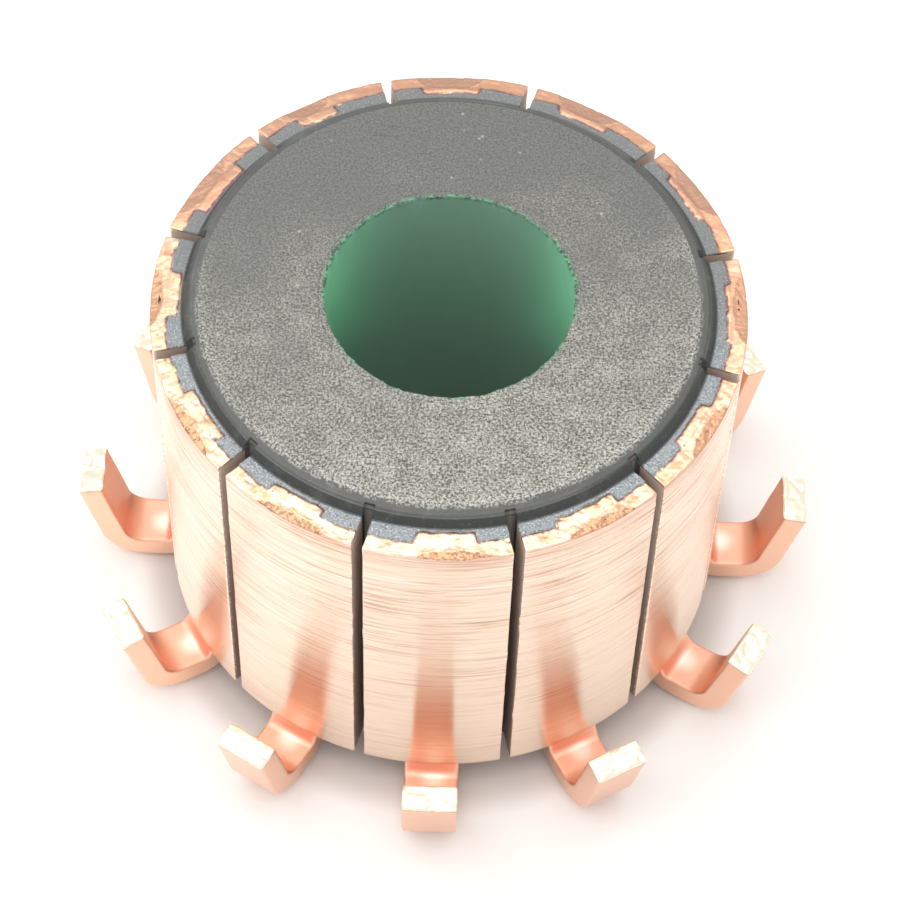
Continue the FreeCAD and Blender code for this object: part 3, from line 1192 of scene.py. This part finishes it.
@dataclass
class CopperBar:
    """One bar with its hook.

    Attributes:
        barrel: The bars' shared sizes.
        strip: Sizes of the hook strip.
        pattern: The pattern on the end faces.
        place: Place round the barrel, from 0 at the front.
        edge: Rounding of the bar's edges.
        step: Distance between grid lines on the end face.
        fine: Height below the end face that is meshed as finely.
        coarse: Distance between grid lines below that.
        strip_end: Length of the strip's end that is meshed finely.
        strip_steps: Distances between grid lines along the strip, along its end, across and through it.
        wall_seed: Seed of the first bar's wall. The others follow on.
        strip_seed: Seed of the first bar's strip.
    """

    barrel: Barrel
    strip: Strip
    pattern: EndFace
    place: int
    edge: float = 0.06
    step: float = 0.06
    fine: float = 0.9
    coarse: float = 0.2
    strip_end: float = 0.6
    strip_steps: tuple[float, float, float, float] = (0.12, 0.05, 0.09, 0.07)
    wall_seed: int = 100
    strip_seed: int = 200

    @property
    def name(self) -> str:
        """Name of the solid that this piece replaces."""
        return f"bar_{self.place + 1:02d}"

    @property
    def warm(self) -> float:
        """How orange the bar's end face is; it rises towards the rear as painted shade."""
        return CLINCHES[self.place].warm

    def wall(self) -> MarkedMesh:
        """Meshes the bar's wall, facing -Y.

        Returns:
            Points, faces and marks.
        """
        b = self.barrel
        half = math.radians(b.half_angle(b.radius)) * b.radius
        lower = lines(b.foot, b.face - self.fine, self.coarse, self.edge)
        upper = lines(b.face - self.fine, b.face, self.step, self.edge)
        rows = lines(b.inside, b.radius, self.step, self.edge)
        points, faces = block(rows, lines(-half, half, self.step, self.edge), joined(lower, upper), self.edge)
        radius, across, height = points.T
        grain = Grain(self.wall_seed + self.place)
        across = across + self.burr(grain, radius, across, height, half)
        local = across / half * b.half_angle(radius)
        world = local + self.place * b.pitch
        border = self.pattern.border(world, radius)
        depth = self.pattern.facet_depth(world, radius)
        arc = np.radians(world) * b.radius
        rise = self.rise(grain, arc, radius, border, depth) * ramp(height, b.face - 0.6, b.face)
        marks = self.wall_marks(radius, np.abs(across), height, half, border, depth)
        dent = 0.03 * grain.at(arc * 5.0, height * 5.0, 2.0) * ramp(height, b.face - 0.35, b.face)
        radius = radius - np.clip(dent, 0, 1) * ramp(radius, b.radius - 0.3, b.radius)
        return turned(radius, np.radians(local), height + rise), faces, marks

    def burr(
        self, grain: Grain, radius: np.ndarray, across: np.ndarray, height: np.ndarray, half: float
    ) -> np.ndarray:
        """Ragged edges that the saw left along the slots.

        Args:
            grain: The bar's noise.
            radius: Radius of each point.
            across: Its distance from the bar's middle.
            height: Its height.
            half: Half the bar's width.

        Returns:
            What is added to each distance from the middle.
        """
        outer = self.barrel.radius
        edge = np.where(across > 0, 8.3, 20.7)
        ragged = grain.at(height * 1.1, edge) * 0.012
        ragged = ragged + np.clip(grain.at(height * 2.4, edge, 3.3) - 0.3, 0, 1) * 0.09
        side = ramp(np.abs(across), half - 0.12, half)
        return np.sign(across) * side * ragged * ramp(radius, outer - 0.35, outer - 0.05)

    def rise(
        self, grain: Grain, arc: np.ndarray, radius: np.ndarray, border: np.ndarray, depth: np.ndarray
    ) -> np.ndarray:
        """Relief of the end face: hammering, pits, the pressed lobe and the slanted facet with its ridge.

        Args:
            grain: The bar's noise.
            arc: Length of arc from the front of the barrel.
            radius: Radius of each point.
            border: Distance from the film's border.
            depth: Distance outside the facet's inner edge.

        Returns:
            Height above the plain end face.
        """
        lip = self.barrel.disc_foot + self.pattern.film
        calm = 1 - 0.75 * self.warm
        pits = np.clip(grain.at(arc * 6.5, radius * 6.5, 11.0) - 0.5, 0, 1) * 0.1
        ridge = 0.035 * np.exp(-(((depth - 0.01) / 0.06) ** 2)) * (depth > 0)
        rough = grain.at(arc * 9.0, radius * 9.0, 7.0) * 0.025 * np.clip(depth * 8, 0, 1)
        lobe = 0.05 * ramp(radius, lip + 0.1, lip - 0.1) * ramp(border, 0.0, 0.1)
        relief = grain.sum(arc, radius, HAMMERED) - pits + ridge
        return (relief - depth * self.pattern.drop + rough) * calm + lobe

    def wall_marks(
        self,
        radius: np.ndarray,
        across: np.ndarray,
        height: np.ndarray,
        half: float,
        border: np.ndarray,
        depth: np.ndarray,
    ) -> dict[Mark, np.ndarray]:
        """Marks of the wall's points.

        Args:
            radius: Radius of each point.
            across: Its distance from the bar's middle, on either side.
            height: Its height.
            half: Half the bar's width.
            border: Distance from the film's border.
            depth: Distance outside the facet's inner edge.

        Returns:
            The marks.
        """
        b = self.barrel
        flat = ramp(height, b.face - 0.05, b.face - 0.01)
        outer = ramp(radius, b.radius - 0.09, b.radius - 0.03)
        marks = self.no_marks(len(radius))
        marks[Mark.TURNED] = outer * (1 - ramp(height, b.face - 0.04, b.face - 0.02))
        marks[Mark.FACET] = ramp(depth, 0.02, 0.07) * ramp(height, b.face - 0.3, b.face - 0.12)
        # Painted shadow along the film's border
        marks[Mark.SEAM] = np.exp(-(((border - 0.02) / 0.055) ** 2)) * flat * 0.95
        marks[Mark.FACE] = flat
        marks[Mark.SIDE] = (1 - flat) * (1 - outer)
        # Side edges that take pale burrs, partly painted highlight
        marks[Mark.EDGE] = ramp(across, half - 0.07, half - 0.02)
        return marks

    def no_marks(self, count: int) -> dict[Mark, np.ndarray]:
        """Marks at nought, apart from the bar's own warmth.

        Args:
            count: Number of points.

        Returns:
            The marks.
        """
        marks = {mark: np.zeros(count) for mark in Mark}
        marks[Mark.WARM] += self.warm
        return marks

    def blank(self) -> MarkedMesh:
        """Meshes the strip before it is bent, along X, with Y across and Z through.

        Returns:
            Points, faces and marks.
        """
        s = self.strip
        grain = Grain(self.strip_seed + self.place)
        coarse, fine, wide, deep = self.strip_steps
        tip = s.length - self.strip_end
        along = joined(lines(0, tip, coarse, s.edge), lines(tip, s.length, fine, s.edge))
        across = lines(-s.width / 2, s.width / 2, wide, s.edge)
        through = lines(-s.thickness / 2, s.thickness / 2, deep, s.edge)
        points, faces = block(along, across, through, s.edge)
        x, y, z = points.T
        uncut = 1 - ramp(x, s.length - 0.05, s.length - 0.01)
        bend = s.buried + s.bends[0] * math.pi / 2
        spot = np.hypot((x - bend + 0.05) / 0.85, (y - 0.1) / 0.8)
        marks = self.no_marks(len(points))
        marks[Mark.CUT] = ramp(x + 0.06 * grain.at(y * 5.0, z * 5.0, 30.0), s.length - 0.12, s.length - 0.08)
        # Painted shadow: a dark line round the strip next to its cut end
        marks[Mark.SEAM] = np.exp(-(((x - s.length + 0.13) / 0.035) ** 2)) * 0.5
        marks[Mark.INNER] = ramp(z, s.thickness / 2 - 0.12, s.thickness / 2 - 0.05) * uncut
        # Painted highlight: a pale spot on the trough where the strip bends below the bar
        marks[Mark.SHINE] = ramp(spot, 1.0, 0.1) * marks[Mark.INNER] * 0.85
        x = x + ramp(x, s.length - 0.25, s.length) * (grain.sum(y, z, SHEARED) - 0.05)
        wavy = 0.012 * grain.at(x * 1.5, z * 2.0, 6.0) * np.sign(y)
        y = y + wavy * ramp(np.abs(y), s.width / 2 - 0.3, s.width / 2)
        z = z + 0.01 * grain.at(x * 1.2, y * 1.2, 9.0) - ramp(x, s.buried + 0.35, s.buried - 0.1) * 0.075
        return np.stack([x, y, z], axis=1), faces, marks

    def make(self, former: "HookFormer", finishes: Finishes) -> bpy.types.Object:
        """Makes the bar as one mesh.

        Args:
            former: Geometry nodes that bend the strip and turn the bar into place.
            finishes: Worked and turned copper.

        Returns:
            The finished piece.
        """
        wall, blank = self.wall(), self.blank()
        points = np.concatenate([wall[0], blank[0]])
        faces = np.concatenate([wall[1], blank[1] + len(wall[0])])
        raw = new_mesh(f"{self.name}_raw", points, faces)
        set_mark(raw.data, HookFormer.FLAG, np.arange(len(points)) >= len(wall[0]))
        for mark in Mark:
            set_mark(raw.data, mark.value, np.concatenate([wall[2][mark], blank[2][mark]]))
        made = former.form(raw, f"{self.name}_copper", self.place * self.barrel.pitch, finishes)
        centre_texture_space(made.data)
        return made


@dataclass
class HookFormer:
    """Geometry nodes that bend a straight strip along the hook's middle line and turn the bar into place.

    Attributes:
        barrel: The bars' shared sizes.
        strip: Sizes of the hook strip.
        steps: Points round each bend.
        tree: The node group.
        inputs: Identifiers of its inputs by name.
    """

    barrel: Barrel
    strip: Strip
    steps: int = 20
    tree: bpy.types.GeometryNodeTree = field(init=False)
    inputs: dict[str, str] = field(init=False, default_factory=dict)

    FLAG = "straight_strip"
    BENDS = ("Root Bend", "Hook Bend")
    CORNERS = ("Corner 1", "Corner 2", "Corner 3", "Corner 4")

    def __post_init__(self) -> None:
        """Makes the node group and its sockets."""
        self.tree = bpy.data.node_groups.new("hook_former", "GeometryNodeTree")
        kinds = {"Bar": "Geometry", **dict.fromkeys((*self.BENDS, "Turn"), "Float")}
        kinds |= {**dict.fromkeys(self.CORNERS, "Vector"), "Worked": "Material", "Turned": "Material"}
        for name, kind in kinds.items():
            made = self.tree.interface.new_socket(name, in_out="INPUT", socket_type=f"NodeSocket{kind}")
            self.inputs[name] = made.identifier
        self.tree.interface.new_socket("Bar", in_out="OUTPUT", socket_type="NodeSocketGeometry")
        self._build()

    def _build(self) -> None:
        """Builds the tree."""
        sheet = Sheet(self.tree)
        bar = sheet.node("NodeGroupInput", None, "Bar")
        given = {name: bar.beside(name) for name in self.inputs}
        bent = self._bent(sheet, self._path(sheet, given))
        moved = {"Geometry": bar, "Selection": self._is_set(sheet, self.FLAG), "Position": bent}
        bar = sheet.node("GeometryNodeSetPosition", moved)
        turn = sheet.vector(0.0, 0.0, given["Turn"])
        bar = sheet.node("GeometryNodeTransform", {"Geometry": bar, "Rotation": turn})
        bar = sheet.node("GeometryNodeRealizeInstances", {"Geometry": bar})
        bar = sheet.node("GeometryNodeSetMaterial", {"Geometry": bar, "Material": given["Worked"]})
        outer = {"Selection": self._is_set(sheet, Mark.TURNED.value), "Material": given["Turned"]}
        bar = sheet.node("GeometryNodeSetMaterial", {"Geometry": bar, **outer})
        sheet.feed(self.tree.nodes.new("NodeGroupOutput").inputs["Bar"], bar)

    def _path(self, sheet: Sheet, given: dict[str, Term]) -> Term:
        """The strip's middle line with its bends rounded.

        Args:
            sheet: The tree.
            given: Its inputs by name.

        Returns:
            The curve.
        """
        index = sheet.node("GeometryNodeInputIndex")
        corner = sheet.pick("VECTOR", index, [given[name] for name in self.CORNERS])
        radius = sheet.pick("FLOAT", index, [0.0, *(given[name] for name in self.BENDS), 0.0])
        line = sheet.node("GeometryNodeMeshLine", {"Count": len(self.CORNERS)})
        line = sheet.node("GeometryNodeSetPosition", {"Geometry": line, "Position": corner})
        path = sheet.node("GeometryNodeMeshToCurve", {"Mesh": line})
        rounded = {"Curve": path, "Count": self.steps, "Radius": radius}
        return sheet.node("GeometryNodeFilletCurve", rounded, mode="POLY")

    @staticmethod
    def _bent(sheet: Sheet, path: Term) -> Term:
        """Where each point of the straight strip lies on the bent one.

        Args:
            sheet: The tree.
            path: The strip's middle line.

        Returns:
            The place.
        """
        place = sheet.node("GeometryNodeInputPosition")
        along = sheet.node("ShaderNodeSeparateXYZ", {0: place}, "X")
        sockets = {"Curves": path, "Length": along}
        middle = sheet.node("GeometryNodeSampleCurve", sockets, "Position", mode="LENGTH")
        upright = {0: middle.beside("Tangent"), 1: (1.0, 0.0, 0.0)}
        out = sheet.node("ShaderNodeVectorMath", upright, operation="CROSS_PRODUCT")
        out = sheet.node("ShaderNodeVectorMath", {0: out, "Scale": along.beside("Z")}, operation="SCALE")
        side = sheet.vector(along.beside("Y"), 0.0, 0.0)
        moved = sheet.node("ShaderNodeVectorMath", {0: middle, 1: side}, operation="ADD")
        return sheet.node("ShaderNodeVectorMath", {0: moved, 1: out}, operation="ADD")

    @staticmethod
    def _is_set(sheet: Sheet, name: str) -> Term:
        """True where a number stored on the mesh is above a half."""
        stored = sheet.node("GeometryNodeInputNamedAttribute", {"Name": name}, data_type="FLOAT")
        return sheet.node("ShaderNodeMath", {0: stored, 1: 0.5}, operation="GREATER_THAN")

    def form(self, raw: bpy.types.Object, name: str, turn: float, finishes: Finishes) -> bpy.types.Object:
        """Bends a bar's strip and turns the bar into place.

        Args:
            raw: The bar with its straight strip.
            name: Name of the finished piece.
            turn: Degrees round the barrel.
            finishes: Worked and turned copper.

        Returns:
            The finished piece, a plain mesh.
        """
        former = raw.modifiers.new("former", "NODES")
        former.node_group = self.tree
        values = dict(zip(self.BENDS, (bend * MM for bend in self.strip.bends)))
        values |= dict(zip(self.CORNERS, (corner * MM for corner in self.strip.corners(self.barrel))))
        values |= {"Turn": math.radians(turn), "Worked": finishes[0], "Turned": finishes[1]}
        for key, value in values.items():
            former[self.inputs[key]] = value
        graph = bpy.context.evaluated_depsgraph_get()
        bent = raw.evaluated_get(graph)
        mesh = bpy.data.meshes.new_from_object(bent, preserve_all_data_layers=True, depsgraph=graph)
        mesh.name = name
        old = raw.data
        bpy.data.objects.remove(raw)
        bpy.data.meshes.remove(old)
        return show(name, mesh)


@dataclass
class ResinCore:
    """The resin moulding: collar, body, raised disc and the film on the bars' end faces.

    Attributes:
        barrel: The bars' shared sizes.
        pattern: The pattern on the end faces.
        columns: Grid columns from one slot to the next.
        film_rows: Grid rows across the film.
        film: Height of the film above the end faces.
        buried: Depth below the end faces at which the film's hidden side lies.
        chamfer: Size of the chamfer round the collar's foot.
        collar_row: Radius of a grid row across the collar's flat face.
        seat_row: Height of the lowest grid row up the bars' inner sides.
        seat_rows: Number of such rows.
        bore_row: Height of a grid row down the bore.
        bevel_rows: Radii of the grid rows down the bevel.
        flat_rows: Radii of the grid rows across the disc's flat top.
        weld: Points closer than this become one, in metres.
        seed: Seed of the film's relief.
    """

    barrel: Barrel
    pattern: EndFace
    columns: int = 84
    film_rows: int = 26
    film: float = 0.06
    buried: float = 0.06
    chamfer: float = 0.4
    collar_row: float = 7.5
    seat_row: float = 3.0
    seat_rows: int = 6
    bore_row: float = 9.0
    bevel_rows: tuple[float, ...] = (10.44, 10.36, 10.3, 10.29, 10.2, 10.12, 10.08)
    flat_rows: tuple[float, ...] = (10.0, 9.9, 9.0, 8.0, 7.0, 6.0, 5.3)
    weld: float = 1e-7
    seed: int = 31

    def profile(self) -> tuple[np.ndarray, np.ndarray]:
        """The moulding's outline from the bore's lower end outwards and back to its upper end.

        Returns:
            Radii and heights with a zone number in each row, and the rows of the film's upper side.
        """
        b = self.barrel
        reach = b.disc_foot + self.pattern.film + 0.32
        under = b.face - self.buried
        rim = b.collar - self.chamfer
        collar = [(b.sleeve, 0.0), (self.collar_row, 0.0), (rim, 0.0), (rim + 0.02, 0.005)]
        collar += [(b.collar, self.chamfer - 0.01), (b.collar, self.chamfer + 0.01)]
        collar += [(b.collar, b.foot - 0.01), (b.collar + 0.01, b.foot)]
        seat = [(b.inside - 0.01, b.foot), (b.inside, b.foot + 0.01)]
        seat += [(b.inside, height) for height in np.linspace(self.seat_row, under - 0.1, self.seat_rows)]
        seat += [(b.inside, under), (reach, under)]
        film = [(radius, b.face) for radius in np.linspace(reach, b.disc_foot, self.film_rows)]
        bore = [(b.sleeve, b.top - 0.01), (b.sleeve, b.top - 0.03), (b.sleeve, self.bore_row)]
        flat = [b.disc_top - 0.02, *self.flat_rows, b.sleeve + 0.01]
        rows = []
        zones = (
            (Zone.MOULDED, collar + seat),
            (Zone.FILM, film),
            (Zone.MOULDED, self.disc_side()),
            (Zone.SAWN, [(radius, b.top) for radius in flat]),
            (Zone.MOULDED, bore),
        )
        for zone, points in zones:
            rows += [(*point, zone.value) for point in points]
        first = len(collar + seat)
        return np.array(rows), np.arange(first, first + len(film))

    def disc_side(self) -> list[tuple[float, float]]:
        """The disc's wall and bevel.

        Returns:
            Radii and heights, upwards.
        """
        b = self.barrel
        foot = b.face + self.film
        wide = b.disc_side - b.disc_foot
        tall = b.shoulder - foot
        side = [(b.disc_foot - 0.02, foot + 0.02)]
        side += [(b.disc_foot + share * wide, foot + share * tall) for share in (0.3, 0.6, 0.85)]
        side += [(b.disc_side, b.shoulder - 0.012), (b.disc_side - 0.025, b.shoulder + 0.012)]
        slope = b.bevel / (b.disc_side - b.disc_top)
        side += [(radius, b.shoulder + (b.disc_side - radius) * slope) for radius in self.bevel_rows]
        return side + [(b.disc_top + 0.01, b.top - 0.006)]

    def outlines(self, radii: np.ndarray) -> tuple[np.ndarray, np.ndarray]:
        """Turns the profile round the shaft, clipped at the slots' floors where a slot lies.

        Args:
            radii: The profile's radii.

        Returns:
            Angle in degrees and radius of each point, one row for each copy of the profile.
        """
        b = self.barrel
        inner = np.minimum(radii, b.slot_floor)
        half = b.half_angle(radii)
        slot = np.degrees(np.arcsin(b.slot / 2 / inner))
        angles, clipped = [], []
        for place in range(b.bars):
            middle = place * b.pitch
            angles += [middle + (2 * share - 1) * half for share in np.linspace(0, 1, self.columns)]
            angles += [middle + b.pitch / 2 + share * slot for share in (-1.0, 0.0, 1.0)]
            clipped += [radii] * self.columns + [inner] * 3
        return np.array(angles), np.array(clipped)

    def swell(self, angle: np.ndarray, radius: np.ndarray) -> np.ndarray:
        """Height of the film's upper side above the end faces.

        Args:
            angle: Degrees round the barrel.
            radius: Radius of each point.

        Returns:
            The height, nought where a slot lies.
        """
        border = self.pattern.border(angle, radius)
        arc = np.radians(angle) * self.barrel.radius
        relief = Grain(self.seed).sum(arc, radius, FILM_SKIN)
        swell = np.where(border < 0, self.film, 0) + relief - ramp(border, -0.03, 0.02) * (self.film + 0.04)
        between = np.tile(np.arange(self.columns + 3) < self.columns, self.barrel.bars)
        return swell * between[:, None]

    def make(self, finishes: dict[Zone, bpy.types.Material]) -> bpy.types.Object:
        """Makes the moulding.

        Args:
            finishes: The material of each zone.

        Returns:
            The finished piece.
        """
        rows, film = self.profile()
        angle, radius = self.outlines(rows[:, 0])
        height = np.broadcast_to(rows[:, 1], angle.shape).copy()
        height[:, film] += self.swell(angle[:, film], np.broadcast_to(rows[film, 0], angle[:, film].shape))
        points = turned(radius, np.radians(angle), height)
        made = new_mesh("resin_moulding", points.reshape(-1, 3), ring(*angle.shape))
        zones = np.tile(rows[:, 2].astype(np.int32), len(angle))
        made.data.polygons.foreach_set("material_index", zones)
        for zone in Zone:
            made.data.materials.append(finishes[zone])
        self._weld(made.data)
        return made

    def _weld(self, mesh: bpy.types.Mesh) -> None:
        """Merges the points that the slots' columns share with their neighbours.

        Args:
            mesh: The moulding.
        """
        work = bmesh.new()
        work.from_mesh(mesh)
        bmesh.ops.remove_doubles(work, verts=work.verts, dist=self.weld)
        work.to_mesh(mesh)
        work.free()
        mesh.update()


@dataclass
class BoreSleeve:
    """The green insulating sleeve that lines the bore.

    Attributes:
        barrel: The shared sizes.
        lead: Size of the lead-in at both ends.
        columns: Grid columns round the bore.
        rows: Grid rows down the bore.
        seed: Seed of the ragged lip.
    """

    barrel: Barrel
    lead: float = 0.03
    columns: int = 720
    rows: int = 24
    seed: int = 55

    def make(self, finish: bpy.types.Material) -> bpy.types.Object:
        """Makes the sleeve.

        Args:
            finish: Its material.

        Returns:
            The finished piece.
        """
        b = self.barrel
        lead = b.bore + self.lead
        profile = [(lead, 0.0), (b.sleeve - 0.01, 0.0), (b.sleeve, 0.01), (b.sleeve, b.top - 0.01)]
        cut_edge = (b.sleeve - 0.01, b.sleeve - 0.03, b.sleeve - 0.12, lead + 0.02)
        profile += [(radius, b.top) for radius in cut_edge]
        profile += [(lead - 0.01, b.top - 0.01), (b.bore, b.top - self.lead), (b.bore, b.top - 0.1)]
        profile += [(b.bore, height) for height in np.linspace(b.top - 0.25, self.lead, self.rows)]
        radii, heights = np.array(profile).T
        turn = np.linspace(0, 2 * np.pi, self.columns, endpoint=False)[:, None]
        ragged = Grain(self.seed).sum(self.columns * turn / (2 * np.pi), 1.0, SLEEVE_LIP)
        lip = ramp(heights, b.top - 0.22, b.top - 0.02) * (radii < b.sleeve - 0.15)
        points = turned(radii + ragged * lip, turn, heights)
        made = new_mesh("sleeve_enamel", points.reshape(-1, 3), ring(*points.shape[:2]))
        made.data.materials.append(finish)
        return made


# Table, light and camera


@dataclass
class Studio:
    """A white table, soft light from all round, and the camera.

    Attributes:
        barrel: The shared sizes.
        lens: Focal length on a sensor 36 mm wide.
        sensor: Width of that sensor.
        distance: From the aim to the camera, in millimetres.
        elevation: Of the camera above the table, in degrees.
        azimuth: Of the camera round the shaft, in degrees.
        roll: Of the picture, in degrees.
        aside: Sideways place of the camera, in millimetres.
        lift: Upward place of the camera across its view.
        table: Half the table's side, in millimetres.
        paper: The table's white.
        shade: Painted shadow on the table under the part's foot.
        shadow: Distances from the barrel between which that painted shadow sets in.
        glow: What the table adds to its white where it is seen.
        dim: Share of that glow everywhere but at the sides of the part, where the copper mirrors it whole.
        left: From where to where along X that mirrored glow sets in, in millimetres.
        right: The same on the other side.
        world: The world's strength as light.
        backdrop: What is added where the world is seen.
        lamp: Width, depth and power of the soft lamp, in metres and watts.
        hung: Its place, in metres.
    """

    barrel: Barrel
    lens: float = 120.37
    sensor: float = 36.0
    distance: float = 120.64
    elevation: float = 56.194
    azimuth: float = 0.4405
    roll: float = 1.9655
    aside: float = 0.226
    lift: float = -5.845
    table: float = 500.0
    paper: Colour = (0.94, 0.92, 0.90)
    shade: Colour = (0.48, 0.37, 0.31)
    shadow: Span = (1.9, 0.3)
    glow: float = 0.3
    dim: float = 0.13
    left: Span = (-4.0, -14.0)
    right: Span = (6.0, 18.0)
    world: float = 0.84
    backdrop: float = 0.16
    lamp: tuple[float, float, float] = (0.6, 0.42, 1.1)
    hung: tuple[float, float, float] = (-0.14, 0.005, 0.35)

    @staticmethod
    def seen(sheet: Sheet) -> Term:
        """One for rays that show the background, straight or in a reflection, and nought for light."""
        rays = sheet.node("ShaderNodeLightPath", None, "Is Camera Ray")
        return rays.most(rays.beside("Is Glossy Ray")).most(rays.beside("Is Transmission Ray"))

    def add_table(self) -> None:
        """Adds the white table, with a soft shadow painted round the part's foot."""
        sides = np.array([(-1, -1, 0), (1, -1, 0), (1, 1, 0), (-1, 1, 0)], float)
        table = new_mesh("white_table", sides * self.table, np.array([[0, 1, 2, 3]]))
        sheet = PaintSheet("table_white")
        # Painted shadow: the paper darkens towards the part's foot
        under = sheet.radius.step(*(self.barrel.radius + reach for reach in self.shadow)) * 0.5
        paper = sheet.node("ShaderNodeBsdfDiffuse", {"Color": sheet.mix(under, self.paper, self.shade)})
        mirrored = sheet.node("ShaderNodeLightPath", None, "Is Glossy Ray")
        beside = sheet.x.step(*self.left) * 0.9 + sheet.x.step(*self.right) * 0.55
        tone = sheet.mix(beside * mirrored, (self.dim,) * 3, (1.0,) * 3)
        glow = sheet.node("ShaderNodeEmission", {"Color": tone, "Strength": self.glow})
        lifted = sheet.node("ShaderNodeAddShader", {0: paper, 1: glow})
        surface = sheet.node("ShaderNodeMixShader", {0: self.seen(sheet), 1: paper, 2: lifted})
        table.data.materials.append(sheet.end(surface))

    def add_light(self) -> None:
        """Adds the world's white and one large soft lamp above and to the left."""
        world = bpy.data.worlds.new("tent")
        world.use_nodes = True
        backdrop = world.node_tree.nodes["Background"]
        backdrop.inputs["Color"].default_value = (1.0, 1.0, 1.0, 1.0)
        sheet = Sheet(world.node_tree)
        sheet.feed(backdrop.inputs["Strength"], self.seen(sheet) * self.backdrop + self.world)
        bpy.context.scene.world = world
        lamp = bpy.data.lights.new("softbox", "AREA")
        lamp.shape = "RECTANGLE"
        lamp.size, lamp.size_y, lamp.energy = self.lamp
        show("softbox", lamp).location = self.hung

    def add_camera(self) -> None:
        """Adds the camera at the photograph's view."""
        tilt = math.radians(self.elevation)
        back = Vector((0, -math.cos(tilt), math.sin(tilt)))
        right = Vector((1, 0, 0))
        up = right.cross(-back)
        place = back * self.distance + right * self.aside + up * self.lift + Vector((0, 0, self.barrel.face))
        roll = math.radians(self.roll)
        across = right * math.cos(roll) + up * math.sin(roll)
        upward = up * math.cos(roll) - right * math.sin(roll)
        axes = Matrix((across, upward, back)).transposed().to_4x4()
        lens = bpy.data.cameras.new("camera")
        lens.lens = self.lens
        lens.sensor_width = self.sensor
        lens.clip_start = MM
        camera = show("camera", lens)
        turn = Matrix.Rotation(math.radians(self.azimuth), 4, "Z")
        camera.matrix_world = turn @ Matrix.Translation(place * MM) @ axes
        bpy.context.scene.camera = camera
        bpy.context.scene.view_settings.view_transform = "Standard"


def keep(piece: bpy.types.Object, node: str) -> None:
    """Rides a finished piece on the body in place of its solid and logs it.

    Args:
        piece: The piece.
        node: Name of its solid.
    """
    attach(piece, "root")
    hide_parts(node)
    LOG.info("%s stands for %s, %d faces", piece.name, node, len(piece.data.polygons))


def main() -> None:
    """Builds the pieces in order, then the table, the light and the camera."""
    logging.basicConfig(level=logging.INFO, format="%(name)s: %(message)s")
    barrel = Barrel()
    strip = Strip()
    pattern = EndFace(barrel)
    copper = (WorkedCopper().make(), TurnedCopper().make())
    former = HookFormer(barrel, strip)
    for place in range(barrel.bars):
        bar = CopperBar(barrel, strip, pattern, place)
        keep(bar.make(former, copper), bar.name)
    resins = {Zone.MOULDED: MouldedResin(), Zone.SAWN: SawnResin(), Zone.FILM: FilmResin()}
    finishes = {zone: resin.make() for zone, resin in resins.items()}
    keep(ResinCore(barrel, pattern).make(finishes), "moulded_core")
    keep(BoreSleeve(barrel).make(SleeveGreen().make()), "bore_sleeve")
    studio = Studio(barrel)
    studio.add_table()
    studio.add_light()
    studio.add_camera()


if __name__ == "__main__":
    main()
